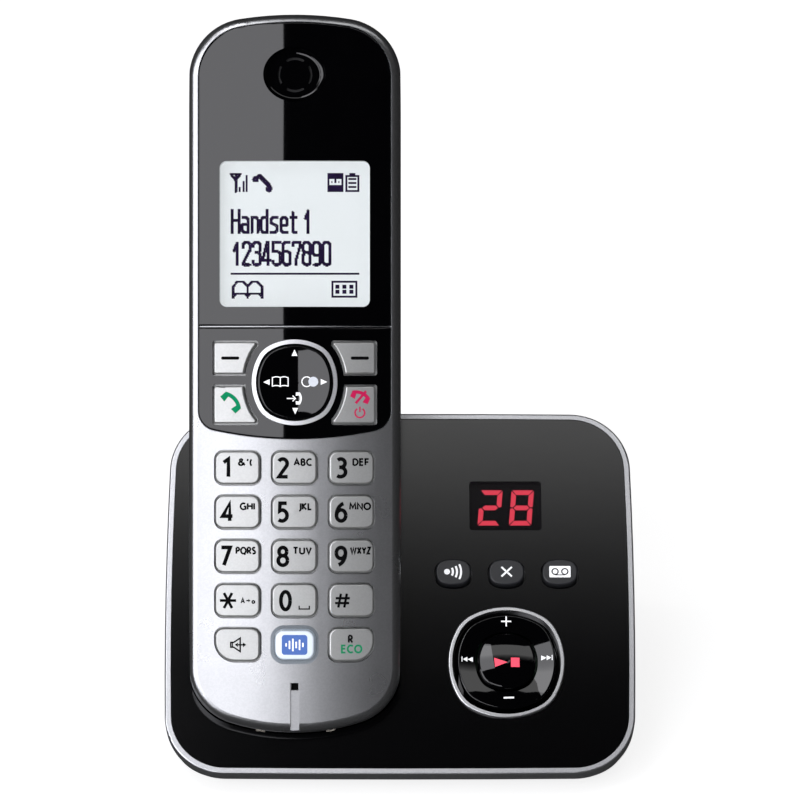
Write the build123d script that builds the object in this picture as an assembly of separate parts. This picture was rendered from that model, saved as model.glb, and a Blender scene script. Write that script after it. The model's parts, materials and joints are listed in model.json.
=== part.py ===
from build123d import *
import math
import os

# Cordless telephone handset standing in its charging and answering base.
# Millimetres.  World frame: +Z up, +X to the user's right, -Y towards the user.
# The origin is on the table, under the middle of the whole object.
# DESK is the frame the base is drawn in: the world frame, but centred on the base.
# DECK is the frame of the base's sloping top: x across, y up the slope, z out of it.
# FACE is the frame of the handset's front: x across, y from the mouthpiece end to the
# earpiece end, z out of the front, with its origin at the mouthpiece end's middle.

# ---- posture ----------------------------------------------------------------------
DECK_SLOPE = 40.5
HANDSET_SLOPE = 62.0
HANDSET_X = -23.9
SEAT_V = 8.6
SEAT_RISE = 3.6
HANDSET_OVERHANG = 8.8

# ---- base case --------------------------------------------------------------------
BASE_WIDTH = 108.2
BASE_DEPTH = 88.0
DECK_LENGTH = 87.9
RIM_FRONT_HEIGHT = 7.0
DECK_CORNER = 14.0
DECK_SIDE_BOW = 0.9
DECK_END_BOW = 0.3
RIM_WIDTH = 1.35
RIM_HEIGHT = 4.2
RIM_EDGE = 0.45
SEAM = 0.1
DECK_DROP = 0.2
DECK_THICKNESS = 2.2
SKIRT_WIDTH = 2.1
CASE_WALL = 2.0
CASE_INSET = 1.3
CASE_DROP = 130.0
FOOT_HEIGHT = 1.5
FOOT_RADIUS = 5.0
FOOT_RECESS = 0.6
FOOT_SPREAD_X = BASE_WIDTH / 2 - 12.1
FOOT_FRONT_Y = -BASE_DEPTH / 2 + 17.0
FOOT_BACK_Y = BASE_DEPTH / 2 - 10.0

# ---- cradle -----------------------------------------------------------------------
CRADLE_GAP = 0.55
CRADLE_WALL = 1.6
BACKREST_HALF = 15.0
BACKREST_LOW = 57.0
BACKREST_HIGH = DECK_LENGTH - 2.9
BACKREST_REACH = 9.0
BACKREST_CORNER = 4.0
PIN_SPREAD = 8.0
PIN_DEPTH = 10.9
PIN_WIDTH = 2.0
PIN_THICKNESS = 1.6
PIN_TIP = 0.95
PIN_FOOT = 5.0
PIN_COLLAR_WIDTH = 4.0
PIN_COLLAR_DEPTH = 3.0
PIN_COLLAR_HEIGHT = 0.9
PIN_CLEARANCE = 0.3

# ---- base controls ----------------------------------------------------------------
OVAL_ROW_V = 48.1
OVAL_MIDDLE_X = 24.6
OVAL_PITCH = 12.3
OVAL_WIDTH = 8.1
OVAL_HEIGHT = 6.3
OVAL_PROUD = 1.5
OVAL_GAP = 0.4
BUTTON_FLANGE = 0.8
BUTTON_FLANGE_THICKNESS = 1.2
BUTTON_SLACK = 0.1
ROCKER_X = 24.4
ROCKER_V = 26.6
RING_HALF = 13.35
RING_WALL = 0.88
RING_PROUD = 0.6
RING_SEAT = 0.9
RING_LEDGE = 0.45
ROCKER_HALF = 11.3
ROCKER_BORE = 7.2
ROCKER_FLOOR = -0.1
ROCKER_DISH = 60.0
ROCKER_FLANGE_HALF = 12.9
ROCKER_FLANGE_TOP = -DECK_DROP - DECK_THICKNESS - 1.2
ROCKER_FLANGE_THICKNESS = 0.9
PLAY_HALF = 6.65
PLAY_TOP = 2.0
PLAY_EDGE = 0.7
PLAY_DOME = 32.0
PLAY_UNDERSIDE = -1.3
PLAY_STEM_RADIUS = 3.0
PLAY_STEM_END = ROCKER_FLANGE_TOP - 1.3
GIMBAL_LEVEL = -3.0
GIMBAL_OUTER = 5.5
GIMBAL_INNER = 3.9
GIMBAL_THICKNESS = 1.0
GIMBAL_PIN_RADIUS = 0.45
GIMBAL_PIN_END = 8.3
GIMBAL_EAR_OUTER = 6.7
PIN_BEARING_GAP = 0.3
EAR_HALF = 1.2
WINDOW_X = 24.5
WINDOW_V = 64.9
WINDOW_WIDTH = 16.6
WINDOW_HEIGHT = 12.0
WINDOW_CORNER = 0.8
LED_MARGIN = 1.6
LED_GAP = 0.2

# ---- inside the base --------------------------------------------------------------
BOARD_THICKNESS = 1.6
BASE_BOARD_TOP = -DECK_DROP - DECK_THICKNESS - 4.2
BASE_BOARD_LEFT = 5.0
BASE_BOARD_RIGHT = 42.0
BASE_BOARD_LOW = 16.5
BASE_BOARD_HIGH = 73.5
BOARD_POST_RADIUS = 2.0
BOARD_POST_INSET = 2.5
BOSS_RADIUS = 3.0
BOSS_PILOT = 1.35
BOSS_PILOT_DEPTH = 9.0
BASE_SCREWS = [(10.1 - BASE_WIDTH / 2, 14.0), (BASE_WIDTH / 2 - 7.1, 14.0),
               (BASE_WIDTH / 2 - 8.1, -13.0), (6.5, -31.0)]
SCREW_PAD_RADIUS = 4.4
SCREW_PAD_HEIGHT = 1.5
SCREW_HEAD_RADIUS = 2.6
SCREW_HEAD_HEIGHT = 1.5
SCREW_SHANK_RADIUS = 1.3
SCREW_LENGTH = 9.0
SPEAKER_X = 25.0
SPEAKER_Y = 8.0
SPEAKER_RADIUS = 14.0
SPEAKER_HEIGHT = 6.0
GRILLE_SLOT = 1.4
GRILLE_PITCH = 3.4
GRILLE_SLOTS = 7
LINE_JACK_X = -22.0
LINE_JACK_WIDTH = 12.6
LINE_MOUTH_WIDTH = 9.8
LINE_MOUTH_HEIGHT = 6.8
POWER_JACK_X = 20.0
POWER_JACK_WIDTH = 11.0
POWER_MOUTH_WIDTH = 7.4
POWER_MOUTH_HEIGHT = 5.4
JACK_HEIGHT = 10.0
JACK_DEPTH = 12.0
JACK_MOUTH_DEPTH = 10.0
JACK_LIFT = 1.5
JACK_BACK_SETBACK = 4.6
JACK_LEAD_IN = 2.0
RIDGE = 0.5

# ---- handset case -----------------------------------------------------------------
HANDSET_WIDTH = 48.2
HANDSET_LENGTH = 163.2
HANDSET_THICKNESS = 28.0
BOTTOM_BOW = 6.2
TOP_BOW = 3.6
BOTTOM_CORNER = 13.0
TOP_CORNER = 13.5
FACE_CROWN_RADIUS = 200.0
FACE_EDGE = 2.2
BACK_RADIUS = 303.0
BELLY_Y = 88.0
BACK_SWEEP = 44.0
SPLIT_DEPTH = 9.0
SIDE_DRAFT = 0.06
BACK_BOW = 1.6
BACK_CORNER = 9.0
END_ROUND = 5.0
REACH = 8.0
FACE_WALL = 2.6
SIDE_WALL = 1.8
GROOVE_WIDTH = 0.5
GROOVE_DEPTH = 0.35

# ---- front panels -----------------------------------------------------------------
PANEL_HALF = HANDSET_WIDTH / 2 - 2.2
PANEL_TOP_Y = HANDSET_LENGTH - 1.8
PANEL_SPLIT_Y = 92.4
PANEL_LOW_Y = 66.7
PANEL_TOP_BOW = 3.3
PANEL_TOP_CORNER = 11.6
PANEL_LOW_BOW = 2.8
PANEL_LOW_CORNER = 4.6
PANEL_THICKNESS = 1.3
PANEL_DROP = 0.15
PANEL_SEAM = 0.12
PANEL_BED = 0.02
PANEL_EDGE = 0.4
BRIDGE_OUTER = 18.1
BRIDGE_INNER = 12.1
BRIDGE_GROOVE = 0.35
LCD_Y = HANDSET_LENGTH - 49.9
LCD_WIDTH = 33.9
LCD_HEIGHT = 32.9
LCD_CORNER = 1.5
LCD_DROP = 0.4
LCD_MARGIN = 1.3
LCD_TOP = -FACE_WALL - 1.0
LCD_THICKNESS = 2.4
EAR_Y = HANDSET_LENGTH - 13.7
EAR_WIDTH = 14.3
EAR_HEIGHT = 12.5
EAR_DEPTH = 1.9
EAR_FLOOR_ROUND = 1.5
EAR_SLOT_INNER = 3.4
EAR_SLOT_OUTER = 3.95
EAR_BRIDGE = 1.6
EAR_BOSS_RADIUS = 8.2
EAR_BOSS_DEPTH = 3.4
EAR_SPEAKER_RADIUS = 7.5
EAR_SPEAKER_HEIGHT = 2.6

# ---- handset keys -----------------------------------------------------------------
KEY_PITCH_X = 12.9
KEY_PITCH_Y = 10.03
KEY_LOW_Y = 20.1
KEY_WIDTH = 10.05
KEY_HEIGHT = 7.35
KEY_CORNER = 1.8
KEY_BIG_CORNER = 4.4
KEY_GAP = 0.4
KEY_PROUD = 0.75
KEY_EDGE = 0.4
KEY_FLANGE = 0.85
KEY_FLANGE_BOTTOM = -FACE_WALL - 2.1
KEY_SLACK = 0.1
DOT_RADIUS = 0.45
DOT_RISE = 0.3
NOISE_WIDTH = 8.7
NOISE_HEIGHT = 6.4
NOISE_CORNER = 1.9
NOISE_DISH_MARGIN = 1.35
NOISE_DISH_DEPTH = 0.7
SIDE_KEY_OUTER = 18.3
SIDE_KEY_INNER = 8.7
SOFT_LOW_Y = 81.5
SOFT_HIGH_Y = 88.7
TALK_LOW_Y = 70.3
TALK_HIGH_Y = 78.7
SIDE_KEY_CORNER = 0.6
SIDE_KEY_HOLLOW = 11.6
NAV_Y = 79.6
NAV_RING_HALF = 9.7
NAV_RING_WALL = 0.9
NAV_RING_PROUD = 0.5
NAV_HALF = 8.4
NAV_FLOOR = 0.25
NAV_DISH = 52.0
NAV_UNDERSIDE = -3.0
NAV_SOCKET_RADIUS = 3.4
NAV_SOCKET_TOP = -1.0
NAV_PIVOT_LEVEL = -2.0
NAV_PIVOT_RADIUS = 1.5
NAV_PIVOT_THICKNESS = 1.0
NAV_PIN_RADIUS = 0.4
NAV_PIN_END = 4.6
NAV_EAR_OUTER = 2.7
BRACKET_PLATE = 0.6
MIC_WIDTH = 2.0
MIC_GROOVE_DEPTH = 0.7
MIC_TOP_Y = 11.4
MIC_HOLE = 1.7
MIC_RADIUS = 2.0
MIC_HEIGHT = 1.5

# ---- inside the handset -----------------------------------------------------------
MAT_TOP = KEY_FLANGE_BOTTOM - 0.9
MAT_THICKNESS = 0.9
MAT_MARGIN = 3.4
MAT_HIGH_Y = 91.0
MAT_LOW_Y = 14.0
PCB_TOP = MAT_TOP - 1.0
PCB_THICKNESS = 1.0
PCB_MARGIN = 3.2
PCB_LOW_Y = 4.2
PCB_HIGH_Y = HANDSET_LENGTH - 6.2
HANDSET_SCREWS = [(-15.5, 9.6), (15.5, 9.6),
                  (-16.5, HANDSET_LENGTH - 17.2), (16.5, HANDSET_LENGTH - 17.2)]
POST_RADIUS = 2.5
POST_HOLE = 1.05
REAR_POST_RADIUS = 3.0
SMALL_HEAD_RADIUS = 2.0
SMALL_HEAD_HEIGHT = 1.3
SMALL_SHANK_RADIUS = 1.0
SMALL_HOLE = 1.25
SMALL_SCREW_TIP = -5.0
POST_STOP = -15.2
RINGER_Y = HANDSET_LENGTH - 17.2
RINGER_RADIUS = 7.5
RINGER_HEIGHT = 3.2
RINGER_STANDOFF = 0.6
RINGER_SLOTS = 5
RINGER_SLOT_WIDTH = 0.9
RINGER_SLOT_LENGTH = 9.0
RINGER_SLOT_PITCH = 2.2

# ---- batteries --------------------------------------------------------------------
CELL_RADIUS = 5.25
CELL_LENGTH = 44.5
CELL_SPACING = 10.9
CELL_LOW_Y = 83.0
CELL_DEPTH = 18.3
CELL_NUB_RADIUS = 1.9
CELL_NUB = 1.0
TRAY_CLEARANCE = 0.5
TRAY_CONTACT_SPACE = 1.6
TRAY_WALL = 1.2
COVER_HALF = 14.6
COVER_LOW_Y = 77.0
COVER_HIGH_Y = 137.0
COVER_THICKNESS = 1.5
COVER_CORNER = 3.0
COVER_GAP = 0.35
COVER_LEDGE = 1.3
COVER_PIVOT_RADIUS = 0.75
NOTCH_WIDTH = 11.0
NOTCH_HEIGHT = 3.2
NOTCH_DEPTH = 0.7

PLATE_WIDTH = 4.8
PLATE_HEIGHT = 2.4
PLATE_THICKNESS = 0.5
PLATE_SETBACK = 1.1
STUD_RADIUS = 1.6
STUD_GAP = 0.1


def slope_axes(degrees):
    """Direction of a slope's normal, for a surface that rises away from the user."""
    angle = math.radians(degrees)
    return (0.0, -math.sin(angle), math.cos(angle))


DECK_ORIGIN = (0.0, -BASE_DEPTH / 2, RIM_FRONT_HEIGHT)
DECK = Plane(origin=DECK_ORIGIN, x_dir=(1, 0, 0), z_dir=slope_axes(DECK_SLOPE))
FACE_ORIGIN = DECK.from_local_coords((HANDSET_X, SEAT_V, SEAT_RISE))
FACE = Plane(origin=FACE_ORIGIN, x_dir=(1, 0, 0), z_dir=slope_axes(HANDSET_SLOPE))
DESK = Plane.XY


# ---- drawing helpers --------------------------------------------------------------
def bowed_line(start, end, bow_point):
    """Straight line, or an arc through bow_point when that point is off the line."""
    on_line = math.isclose(start[0], bow_point[0]) or math.isclose(start[1], bow_point[1])
    if on_line:
        return Line(start, end)
    return ThreePointArc(start, bow_point, end)


def crowned_outline(half_width, low, high, low_bow, high_bow, low_corner, high_corner, side_bow=0.0):
    """Rounded rectangle in XY whose ends and sides bulge outwards to the stated sizes."""
    corner_x = half_width - side_bow
    middle = (low + high) / 2
    low_left = (-corner_x, low + low_bow)
    low_right = (corner_x, low + low_bow)
    high_right = (corner_x, high - high_bow)
    high_left = (-corner_x, high - high_bow)
    edges = [
        bowed_line(low_left, low_right, (0, low)),
        bowed_line(low_right, high_right, (half_width, middle)),
        bowed_line(high_right, high_left, (0, high)),
        bowed_line(high_left, low_left, (-half_width, middle)),
    ]
    face = make_face(Curve() + edges)
    face = fillet(face.vertices().group_by(Axis.Y)[0], low_corner)
    return fillet(face.vertices().group_by(Axis.Y)[-1], high_corner)


def soft_square(half, centre=(0.0, 0.0)):
    """A round key's outline: a circle pushed a little towards a square."""
    corner = 0.75 * half
    outline = crowned_outline(half, -half, half, half - corner, half - corner, 0.6 * half, 0.6 * half,
                              side_bow=half - corner)
    return Pos(centre[0], centre[1]) * outline


def slab(face, low, high):
    """Extrude a face drawn in XY between two heights."""
    return extrude(Pos(0, 0, low) * face, high - low)


def block_between(x_range, y_range, z_range):
    """Axis-aligned block given by its limits."""
    size = [span[1] - span[0] for span in (x_range, y_range, z_range)]
    centre = [(span[0] + span[1]) / 2 for span in (x_range, y_range, z_range)]
    return Pos(*centre) * Box(*size)


def rod(radius, centre, low, high):
    """Upright cylinder between two heights."""
    return Pos(centre[0], centre[1], (low + high) / 2) * Cylinder(radius, high - low)


def dome(radius, top, centre):
    """Ball whose highest point is at height top above centre."""
    return Pos(centre[0], centre[1], top - radius) * Sphere(radius)


def dish(radius, floor, centre):
    """Ball whose lowest point is at height floor above centre, to hollow a key's top."""
    return Pos(centre[0], centre[1], floor + radius) * Sphere(radius)


def top_edges(solid):
    """Edges round the highest face of a solid."""
    return solid.faces().sort_by(Axis.Z)[-1].edges()


def save(name, plane, solid):
    """Place a solid drawn in a local frame and write it as one node."""
    placed = Pos(0, -HANDSET_OVERHANG / 2, 0) * (plane.location * solid)
    export_step(placed, "parts/" + name + ".step")


# ---- handset envelope -------------------------------------------------------------
def handset_outline(inset):
    """Outline of the handset seen from the front."""
    return crowned_outline(HANDSET_WIDTH / 2 - inset, inset, HANDSET_LENGTH - inset, BOTTOM_BOW, TOP_BOW,
                           BOTTOM_CORNER - inset, TOP_CORNER - inset)


def under_face(depth):
    """Everything below the crowned front surface, lowered by depth."""
    plane = Plane(origin=(0, -HANDSET_LENGTH / 2, -FACE_CROWN_RADIUS), x_dir=(1, 0, 0), z_dir=(0, 1, 0))
    return extrude(plane * Circle(FACE_CROWN_RADIUS - depth), 2 * HANDSET_LENGTH)


def back_depth(y, inset):
    """Depth of the arched back below the front's middle line."""
    radius = BACK_RADIUS - inset
    return math.sqrt(radius**2 - (y - BELLY_Y) ** 2) - (BACK_RADIUS - HANDSET_THICKNESS)


def back_form(inset):
    """D-shaped section swept along the arch of the back."""
    half = HANDSET_WIDTH / 2 - inset
    deep = HANDSET_THICKNESS - inset
    top = half + SIDE_DRAFT * (SPLIT_DEPTH + REACH)
    low = half - SIDE_DRAFT * (deep - SPLIT_DEPTH)
    edges = [
        Line((-top, REACH), (top, REACH)),
        Line((top, REACH), (low, BACK_BOW - deep)),
        ThreePointArc((low, BACK_BOW - deep), (0, -deep), (-low, BACK_BOW - deep)),
        Line((-low, BACK_BOW - deep), (-top, REACH)),
    ]
    section = make_face(Curve() + edges)
    section = fillet(section.vertices().group_by(Axis.Y)[0], BACK_CORNER - inset)
    plane = Plane(origin=(0, BELLY_Y, 0), x_dir=(1, 0, 0), z_dir=(0, -1, 0))
    axis = Axis((0, BELLY_Y, BACK_RADIUS - HANDSET_THICKNESS), (1, 0, 0))
    start = (plane * section).rotate(axis, -BACK_SWEEP / 2)
    return revolve(start, axis, BACK_SWEEP)


def side_form(inset):
    """Side view with rounded back corners, kept a little outside the arch between them."""
    outside = 0.25
    low = inset
    high = HANDSET_LENGTH - inset
    low_back = (low, -back_depth(low, inset) - outside)
    high_back = (high, -back_depth(high, inset) - outside)
    belly = (BELLY_Y, inset - HANDSET_THICKNESS - outside)
    edges = [
        ThreePointArc(low_back, belly, high_back),
        Line(high_back, (high, REACH)),
        Line((high, REACH), (low, REACH)),
        Line((low, REACH), low_back),
    ]
    face = make_face(Curve() + edges)
    corners = face.vertices().filter_by(lambda corner: corner.Y < 0)
    face = fillet(corners, END_ROUND - inset)
    return extrude(Plane.YZ * face, HANDSET_WIDTH, both=True)


def front_form(inset, edge_radius=0.0):
    """Outline extruded back from the crowned front, with a rounded front edge."""
    form = slab(handset_outline(inset), -HANDSET_THICKNESS - REACH, REACH) & under_face(inset)
    if edge_radius > 0:
        form = fillet(top_edges(form), edge_radius)
    return form


def handset_block(inset, edge_radius=0.0):
    """The whole handset as one solid, shrunk by inset (or grown, when negative)."""
    return front_form(inset, edge_radius) & back_form(inset) & side_form(inset)


def depth_band(low, high):
    """Wide slab between two depths, to cut the handset's case in two."""
    reach = 2 * HANDSET_LENGTH
    return block_between((-reach, reach), (-reach, reach), (low, high))


def parting_groove():
    """Fine groove round the case where its two shells meet."""
    half = GROOVE_WIDTH / 2
    outer = slab(handset_outline(-1.0), -SPLIT_DEPTH - half, -SPLIT_DEPTH + half)
    return outer - slab(handset_outline(GROOVE_DEPTH), -SPLIT_DEPTH - 2 * half, -SPLIT_DEPTH + 2 * half)


# ---- handset: key outlines --------------------------------------------------------
def key_face(width, height, corner):
    """Plain rounded key outline about the origin."""
    return RectangleRounded(width, height, corner)


def low_key_face(width, height, corner, outer_side):
    """Key outline of the lowest row, with one large corner at its outer lower side."""
    beyond = 2 * KEY_BIG_CORNER
    large = RectangleRounded(width + beyond, height + beyond, KEY_BIG_CORNER + corner - KEY_CORNER)
    return key_face(width, height, corner) & Pos(-outer_side * beyond / 2, beyond / 2) * large


def side_key_face(low, high, side, grow):
    """Soft or talk key outline: a rectangle hollowed on its inner side round the navigation ring."""
    inner = SIDE_KEY_INNER - grow
    outer = SIDE_KEY_OUTER + grow
    face = RectangleRounded(outer - inner, high - low + 2 * grow, SIDE_KEY_CORNER)
    plain = Pos(side * (inner + outer) / 2, (low + high) / 2) * face
    return plain - soft_square(SIDE_KEY_HOLLOW - grow, (0, NAV_Y))


def keypad_keys():
    """Each keypad key's name, centre and face function of an outward growth."""
    names = [["key_speaker", "key_noise", "key_recall"], ["key_star", "key_0", "key_hash"],
             ["key_7", "key_8", "key_9"], ["key_4", "key_5", "key_6"], ["key_1", "key_2", "key_3"]]
    keys = []
    for row, row_names in enumerate(names):
        for column, name in enumerate(row_names):
            centre = ((column - 1) * KEY_PITCH_X, KEY_LOW_Y + row * KEY_PITCH_Y)
            keys.append((name, centre))
    return keys


def keypad_face(name, grow):
    """Outline of one keypad key about its own centre, grown outwards by grow."""
    if name == "key_noise":
        return key_face(NOISE_WIDTH + 2 * grow, NOISE_HEIGHT + 2 * grow, NOISE_CORNER + grow)
    width = KEY_WIDTH + 2 * grow
    height = KEY_HEIGHT + 2 * grow
    if name == "key_speaker":
        return low_key_face(width, height, KEY_CORNER + grow, -1)
    if name == "key_recall":
        return low_key_face(width, height, KEY_CORNER + grow, 1)
    return key_face(width, height, KEY_CORNER + grow)


def side_keys():
    """Soft and talk keys: name, lower and upper end, side."""
    return [("soft_key_left", SOFT_LOW_Y, SOFT_HIGH_Y, -1), ("soft_key_right", SOFT_LOW_Y, SOFT_HIGH_Y, 1),
            ("talk_key", TALK_LOW_Y, TALK_HIGH_Y, -1), ("off_key", TALK_LOW_Y, TALK_HIGH_Y, 1)]


def key_solid(cap_face, flange_face):
    """Key cap crowned like the front, on a flange that holds it behind the shell."""
    cap = slab(cap_face, KEY_FLANGE_BOTTOM, REACH) & under_face(-KEY_PROUD)
    cap = fillet(top_edges(cap), KEY_EDGE)
    flange = slab(flange_face, KEY_FLANGE_BOTTOM, 0) & under_face(FACE_WALL + KEY_SLACK)
    return cap + flange


def keypad_key(name, centre):
    """One keypad key in the handset's frame."""
    cap_face = Pos(*centre) * keypad_face(name, 0)
    flange_face = Pos(*centre) * keypad_face(name, KEY_FLANGE)
    key = key_solid(cap_face, flange_face)
    if name == "key_5":
        key = key + rod(DOT_RADIUS, (centre[0], centre[1]), 0, KEY_PROUD + DOT_RISE)
    return key


def side_key(low, high, side):
    """One soft or talk key in the handset's frame."""
    return key_solid(side_key_face(low, high, side, 0), side_key_face(low, high, side, KEY_FLANGE))


def key_holes(low, high):
    """All key openings, as solids between two heights, to cut the panel and the shell."""
    holes = [Pos(*centre) * slab(keypad_face(name, KEY_GAP), low, high) for name, centre in keypad_keys()]
    holes += side_key_holes(low, high)
    return holes


def side_key_holes(low, high):
    """Openings of the soft and talk keys only."""
    return [slab(side_key_face(key_low, key_high, side, KEY_GAP), low, high)
            for _, key_low, key_high, side in side_keys()]


# ---- handset: case and panels -----------------------------------------------------
def panel_pocket_outline(grow):
    """Outline of the bed that both black panels lie in."""
    return crowned_outline(PANEL_HALF + grow, PANEL_LOW_Y - grow, PANEL_TOP_Y + grow, PANEL_LOW_BOW,
                           PANEL_TOP_BOW, PANEL_LOW_CORNER + grow, PANEL_TOP_CORNER + grow)


def panel_plate(face):
    """Evenly thick plate of the given outline, following the crown of the front."""
    plate = slab(face, -REACH, REACH) & under_face(PANEL_DROP)
    plate = fillet(top_edges(plate), PANEL_EDGE)
    return plate - under_face(PANEL_DROP + PANEL_THICKNESS)


def lcd_hole(grow, low, high):
    """Opening for the display's clear window."""
    face = RectangleRounded(LCD_WIDTH + 2 * grow, LCD_HEIGHT + 2 * grow, LCD_CORNER + grow)
    return Pos(0, LCD_Y) * slab(face, low, high)


def handset_front_shell():
    """Silver front: crowned face, side walls to the parting line, screw posts."""
    outside = handset_block(0, FACE_EDGE)
    inside = handset_block(SIDE_WALL) & under_face(FACE_WALL)
    shell = (outside - inside) & depth_band(-SPLIT_DEPTH, REACH)
    for point in HANDSET_SCREWS:
        shell += rod(POST_RADIUS, point, -SPLIT_DEPTH + SEAM, 0) & under_face(FACE_WALL / 2)
    for point in HANDSET_SCREWS:
        shell -= rod(POST_HOLE, point, -SPLIT_DEPTH - 1, SMALL_SCREW_TIP + 0.4)
    bed = slab(panel_pocket_outline(PANEL_SEAM), -REACH, REACH)
    shell -= bed - under_face(PANEL_DROP + PANEL_THICKNESS + PANEL_BED)
    shell -= lcd_hole(SEAM, -REACH, REACH)
    shell -= rod(EAR_BOSS_RADIUS + KEY_SLACK, (0, EAR_Y), -REACH, REACH)
    shell -= slab(soft_square(NAV_RING_HALF - NAV_RING_WALL, (0, NAV_Y)), -REACH, REACH)
    for hole in key_holes(-REACH, REACH):
        shell -= hole
    shell -= noise_dish()
    shell -= mic_groove()
    return shell - parting_groove()


def noise_dish():
    """Sloping surround of the middle key of the lowest row."""
    centre = (0, KEY_LOW_Y)
    bottom = keypad_face("key_noise", KEY_GAP)
    top = keypad_face("key_noise", NOISE_DISH_MARGIN)
    lifted = Pos(centre[0], centre[1], SEAM) * top
    sunk = Pos(centre[0], centre[1], -NOISE_DISH_DEPTH) * bottom
    return loft([sunk, lifted])


def mic_groove():
    """Groove from the microphone hole to the lower end, and the hole itself."""
    groove = block_between((-MIC_WIDTH / 2, MIC_WIDTH / 2), (-REACH, MIC_TOP_Y), (-MIC_GROOVE_DEPTH, REACH))
    half = MIC_HOLE / 2
    hole = block_between((-half, half), (MIC_TOP_Y - MIC_HOLE, MIC_TOP_Y), (-REACH, REACH))
    return groove + hole


def display_panel():
    """Upper black panel with the display opening and the earpiece dish."""
    outline = panel_pocket_outline(0) & Pos(0, PANEL_SPLIT_Y + HANDSET_LENGTH / 2) * Rectangle(
        HANDSET_WIDTH, HANDSET_LENGTH)
    panel = panel_plate(outline)
    panel += rod(EAR_BOSS_RADIUS, (0, EAR_Y), -EAR_BOSS_DEPTH, 0) & under_face(PANEL_DROP)
    panel -= lcd_hole(SEAM, -REACH, REACH)
    panel -= ear_dish()
    return panel - ear_slots()


def ear_dish():
    """Oval dish with a flat floor, rounded into its walls."""
    bottom = -PANEL_DROP - EAR_DEPTH
    oval = Pos(0, EAR_Y) * Ellipse(EAR_WIDTH / 2, EAR_HEIGHT / 2)
    tool = slab(oval, bottom, REACH)
    return fillet(tool.faces().sort_by(Axis.Z)[0].edges(), EAR_FLOOR_ROUND)


def ear_slots():
    """Ring of slots in the dish's floor, left whole at four bridges."""
    ring = slab(Circle(EAR_SLOT_OUTER) - Circle(EAR_SLOT_INNER), -EAR_BOSS_DEPTH - 1, 0)
    wide = 4 * EAR_SLOT_OUTER
    bridges = Box(wide, EAR_BRIDGE, wide) + Box(EAR_BRIDGE, wide, wide)
    return Pos(0, EAR_Y) * (ring - Rot(0, 0, 45) * bridges)


def navigation_panel():
    """Lower black panel round the navigation key."""
    gap = 2 * PANEL_SEAM
    outline = panel_pocket_outline(0) & Pos(0, PANEL_SPLIT_Y - gap - HANDSET_LENGTH / 2) * Rectangle(
        HANDSET_WIDTH, HANDSET_LENGTH)
    panel = panel_plate(outline)
    panel -= slab(soft_square(NAV_RING_HALF + SEAM / 2, (0, NAV_Y)), -REACH, REACH)
    for hole in side_key_holes(-REACH, REACH) + bridge_grooves():
        panel -= hole
    return panel


def bridge_grooves():
    """Fine grooves that set off the bar between each soft key and the key below it."""
    bar = block_between((-BRIDGE_GROOVE / 2, BRIDGE_GROOVE / 2), (TALK_HIGH_Y, SOFT_LOW_Y), (-REACH, REACH))
    bar -= under_face(PANEL_DROP + BRIDGE_GROOVE)
    return [Pos(side * x, 0) * bar for side in (-1, 1) for x in (BRIDGE_INNER, BRIDGE_OUTER)]


def display_window():
    """Clear window that fills the opening down to the shell's inner side."""
    window = lcd_hole(0, -REACH, REACH) & under_face(LCD_DROP)
    return window - under_face(FACE_WALL)


def lcd_module():
    """Display glass behind the window."""
    width = LCD_WIDTH + 2 * LCD_MARGIN
    height = LCD_HEIGHT + 2 * LCD_MARGIN
    return Pos(0, LCD_Y, LCD_TOP - LCD_THICKNESS / 2) * Box(width, height, LCD_THICKNESS)


def navigation_ring():
    """Silver ring round the navigation key, standing on the shell."""
    outer = slab(soft_square(NAV_RING_HALF, (0, NAV_Y)), -REACH, REACH) & under_face(-NAV_RING_PROUD)
    ring = outer - slab(soft_square(NAV_RING_HALF - NAV_RING_WALL, (0, NAV_Y)), -2 * REACH, 2 * REACH)
    return ring - under_face(PANEL_DROP + PANEL_THICKNESS)


def navigation_key():
    """Dished four-way key with a socket and two bearings for its pivot."""
    centre = (0, NAV_Y)
    key = slab(soft_square(NAV_HALF, centre), NAV_UNDERSIDE, REACH) - dish(NAV_DISH, NAV_FLOOR, centre)
    key = fillet(top_edges(key), KEY_EDGE)
    key -= rod(NAV_SOCKET_RADIUS, centre, -REACH, NAV_SOCKET_TOP)
    end = NAV_PIN_END + PIN_BEARING_GAP
    return key - cross_bar(NAV_PIN_RADIUS + PIN_BEARING_GAP, end, centre, NAV_PIVOT_LEVEL, True)


def cross_bar(radius, half_length, centre, level, upwards):
    """Round bar through a key's centre, along the face or across it."""
    turn = Rot(90, 0, 0) if upwards else Rot(0, 90, 0)
    return Pos(centre[0], centre[1], level) * turn * Cylinder(radius, 2 * half_length)


def pivot_pins(radius, across_end, up_end, centre, level):
    """Two crossed pins: the shorter turns in the bracket, the longer carries the key."""
    return (cross_bar(radius, across_end, centre, level, False)
            + cross_bar(radius, up_end, centre, level, True))


def pivot_bracket(inner, outer, foot, level, bearing, centre):
    """Foot ring with two ears whose open bearings hold a pivot's short pins."""
    plate = rod(outer, centre, foot, foot + BRACKET_PLATE) - rod(inner, centre, -2 * REACH, REACH)
    for side in (-1, 1):
        ends = sorted((centre[0] + side * inner, centre[0] + side * outer))
        wide = (centre[1] - EAR_HALF, centre[1] + EAR_HALF)
        plate += block_between(ends, wide, (foot, level + bearing)) & rod(outer, centre, foot, level + bearing)
    slot = block_between((centre[0] - REACH, centre[0] + REACH), (centre[1] - bearing, centre[1] + bearing),
                         (level, REACH))
    return plate - cross_bar(bearing, outer + 1, centre, level, False) - slot


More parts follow.
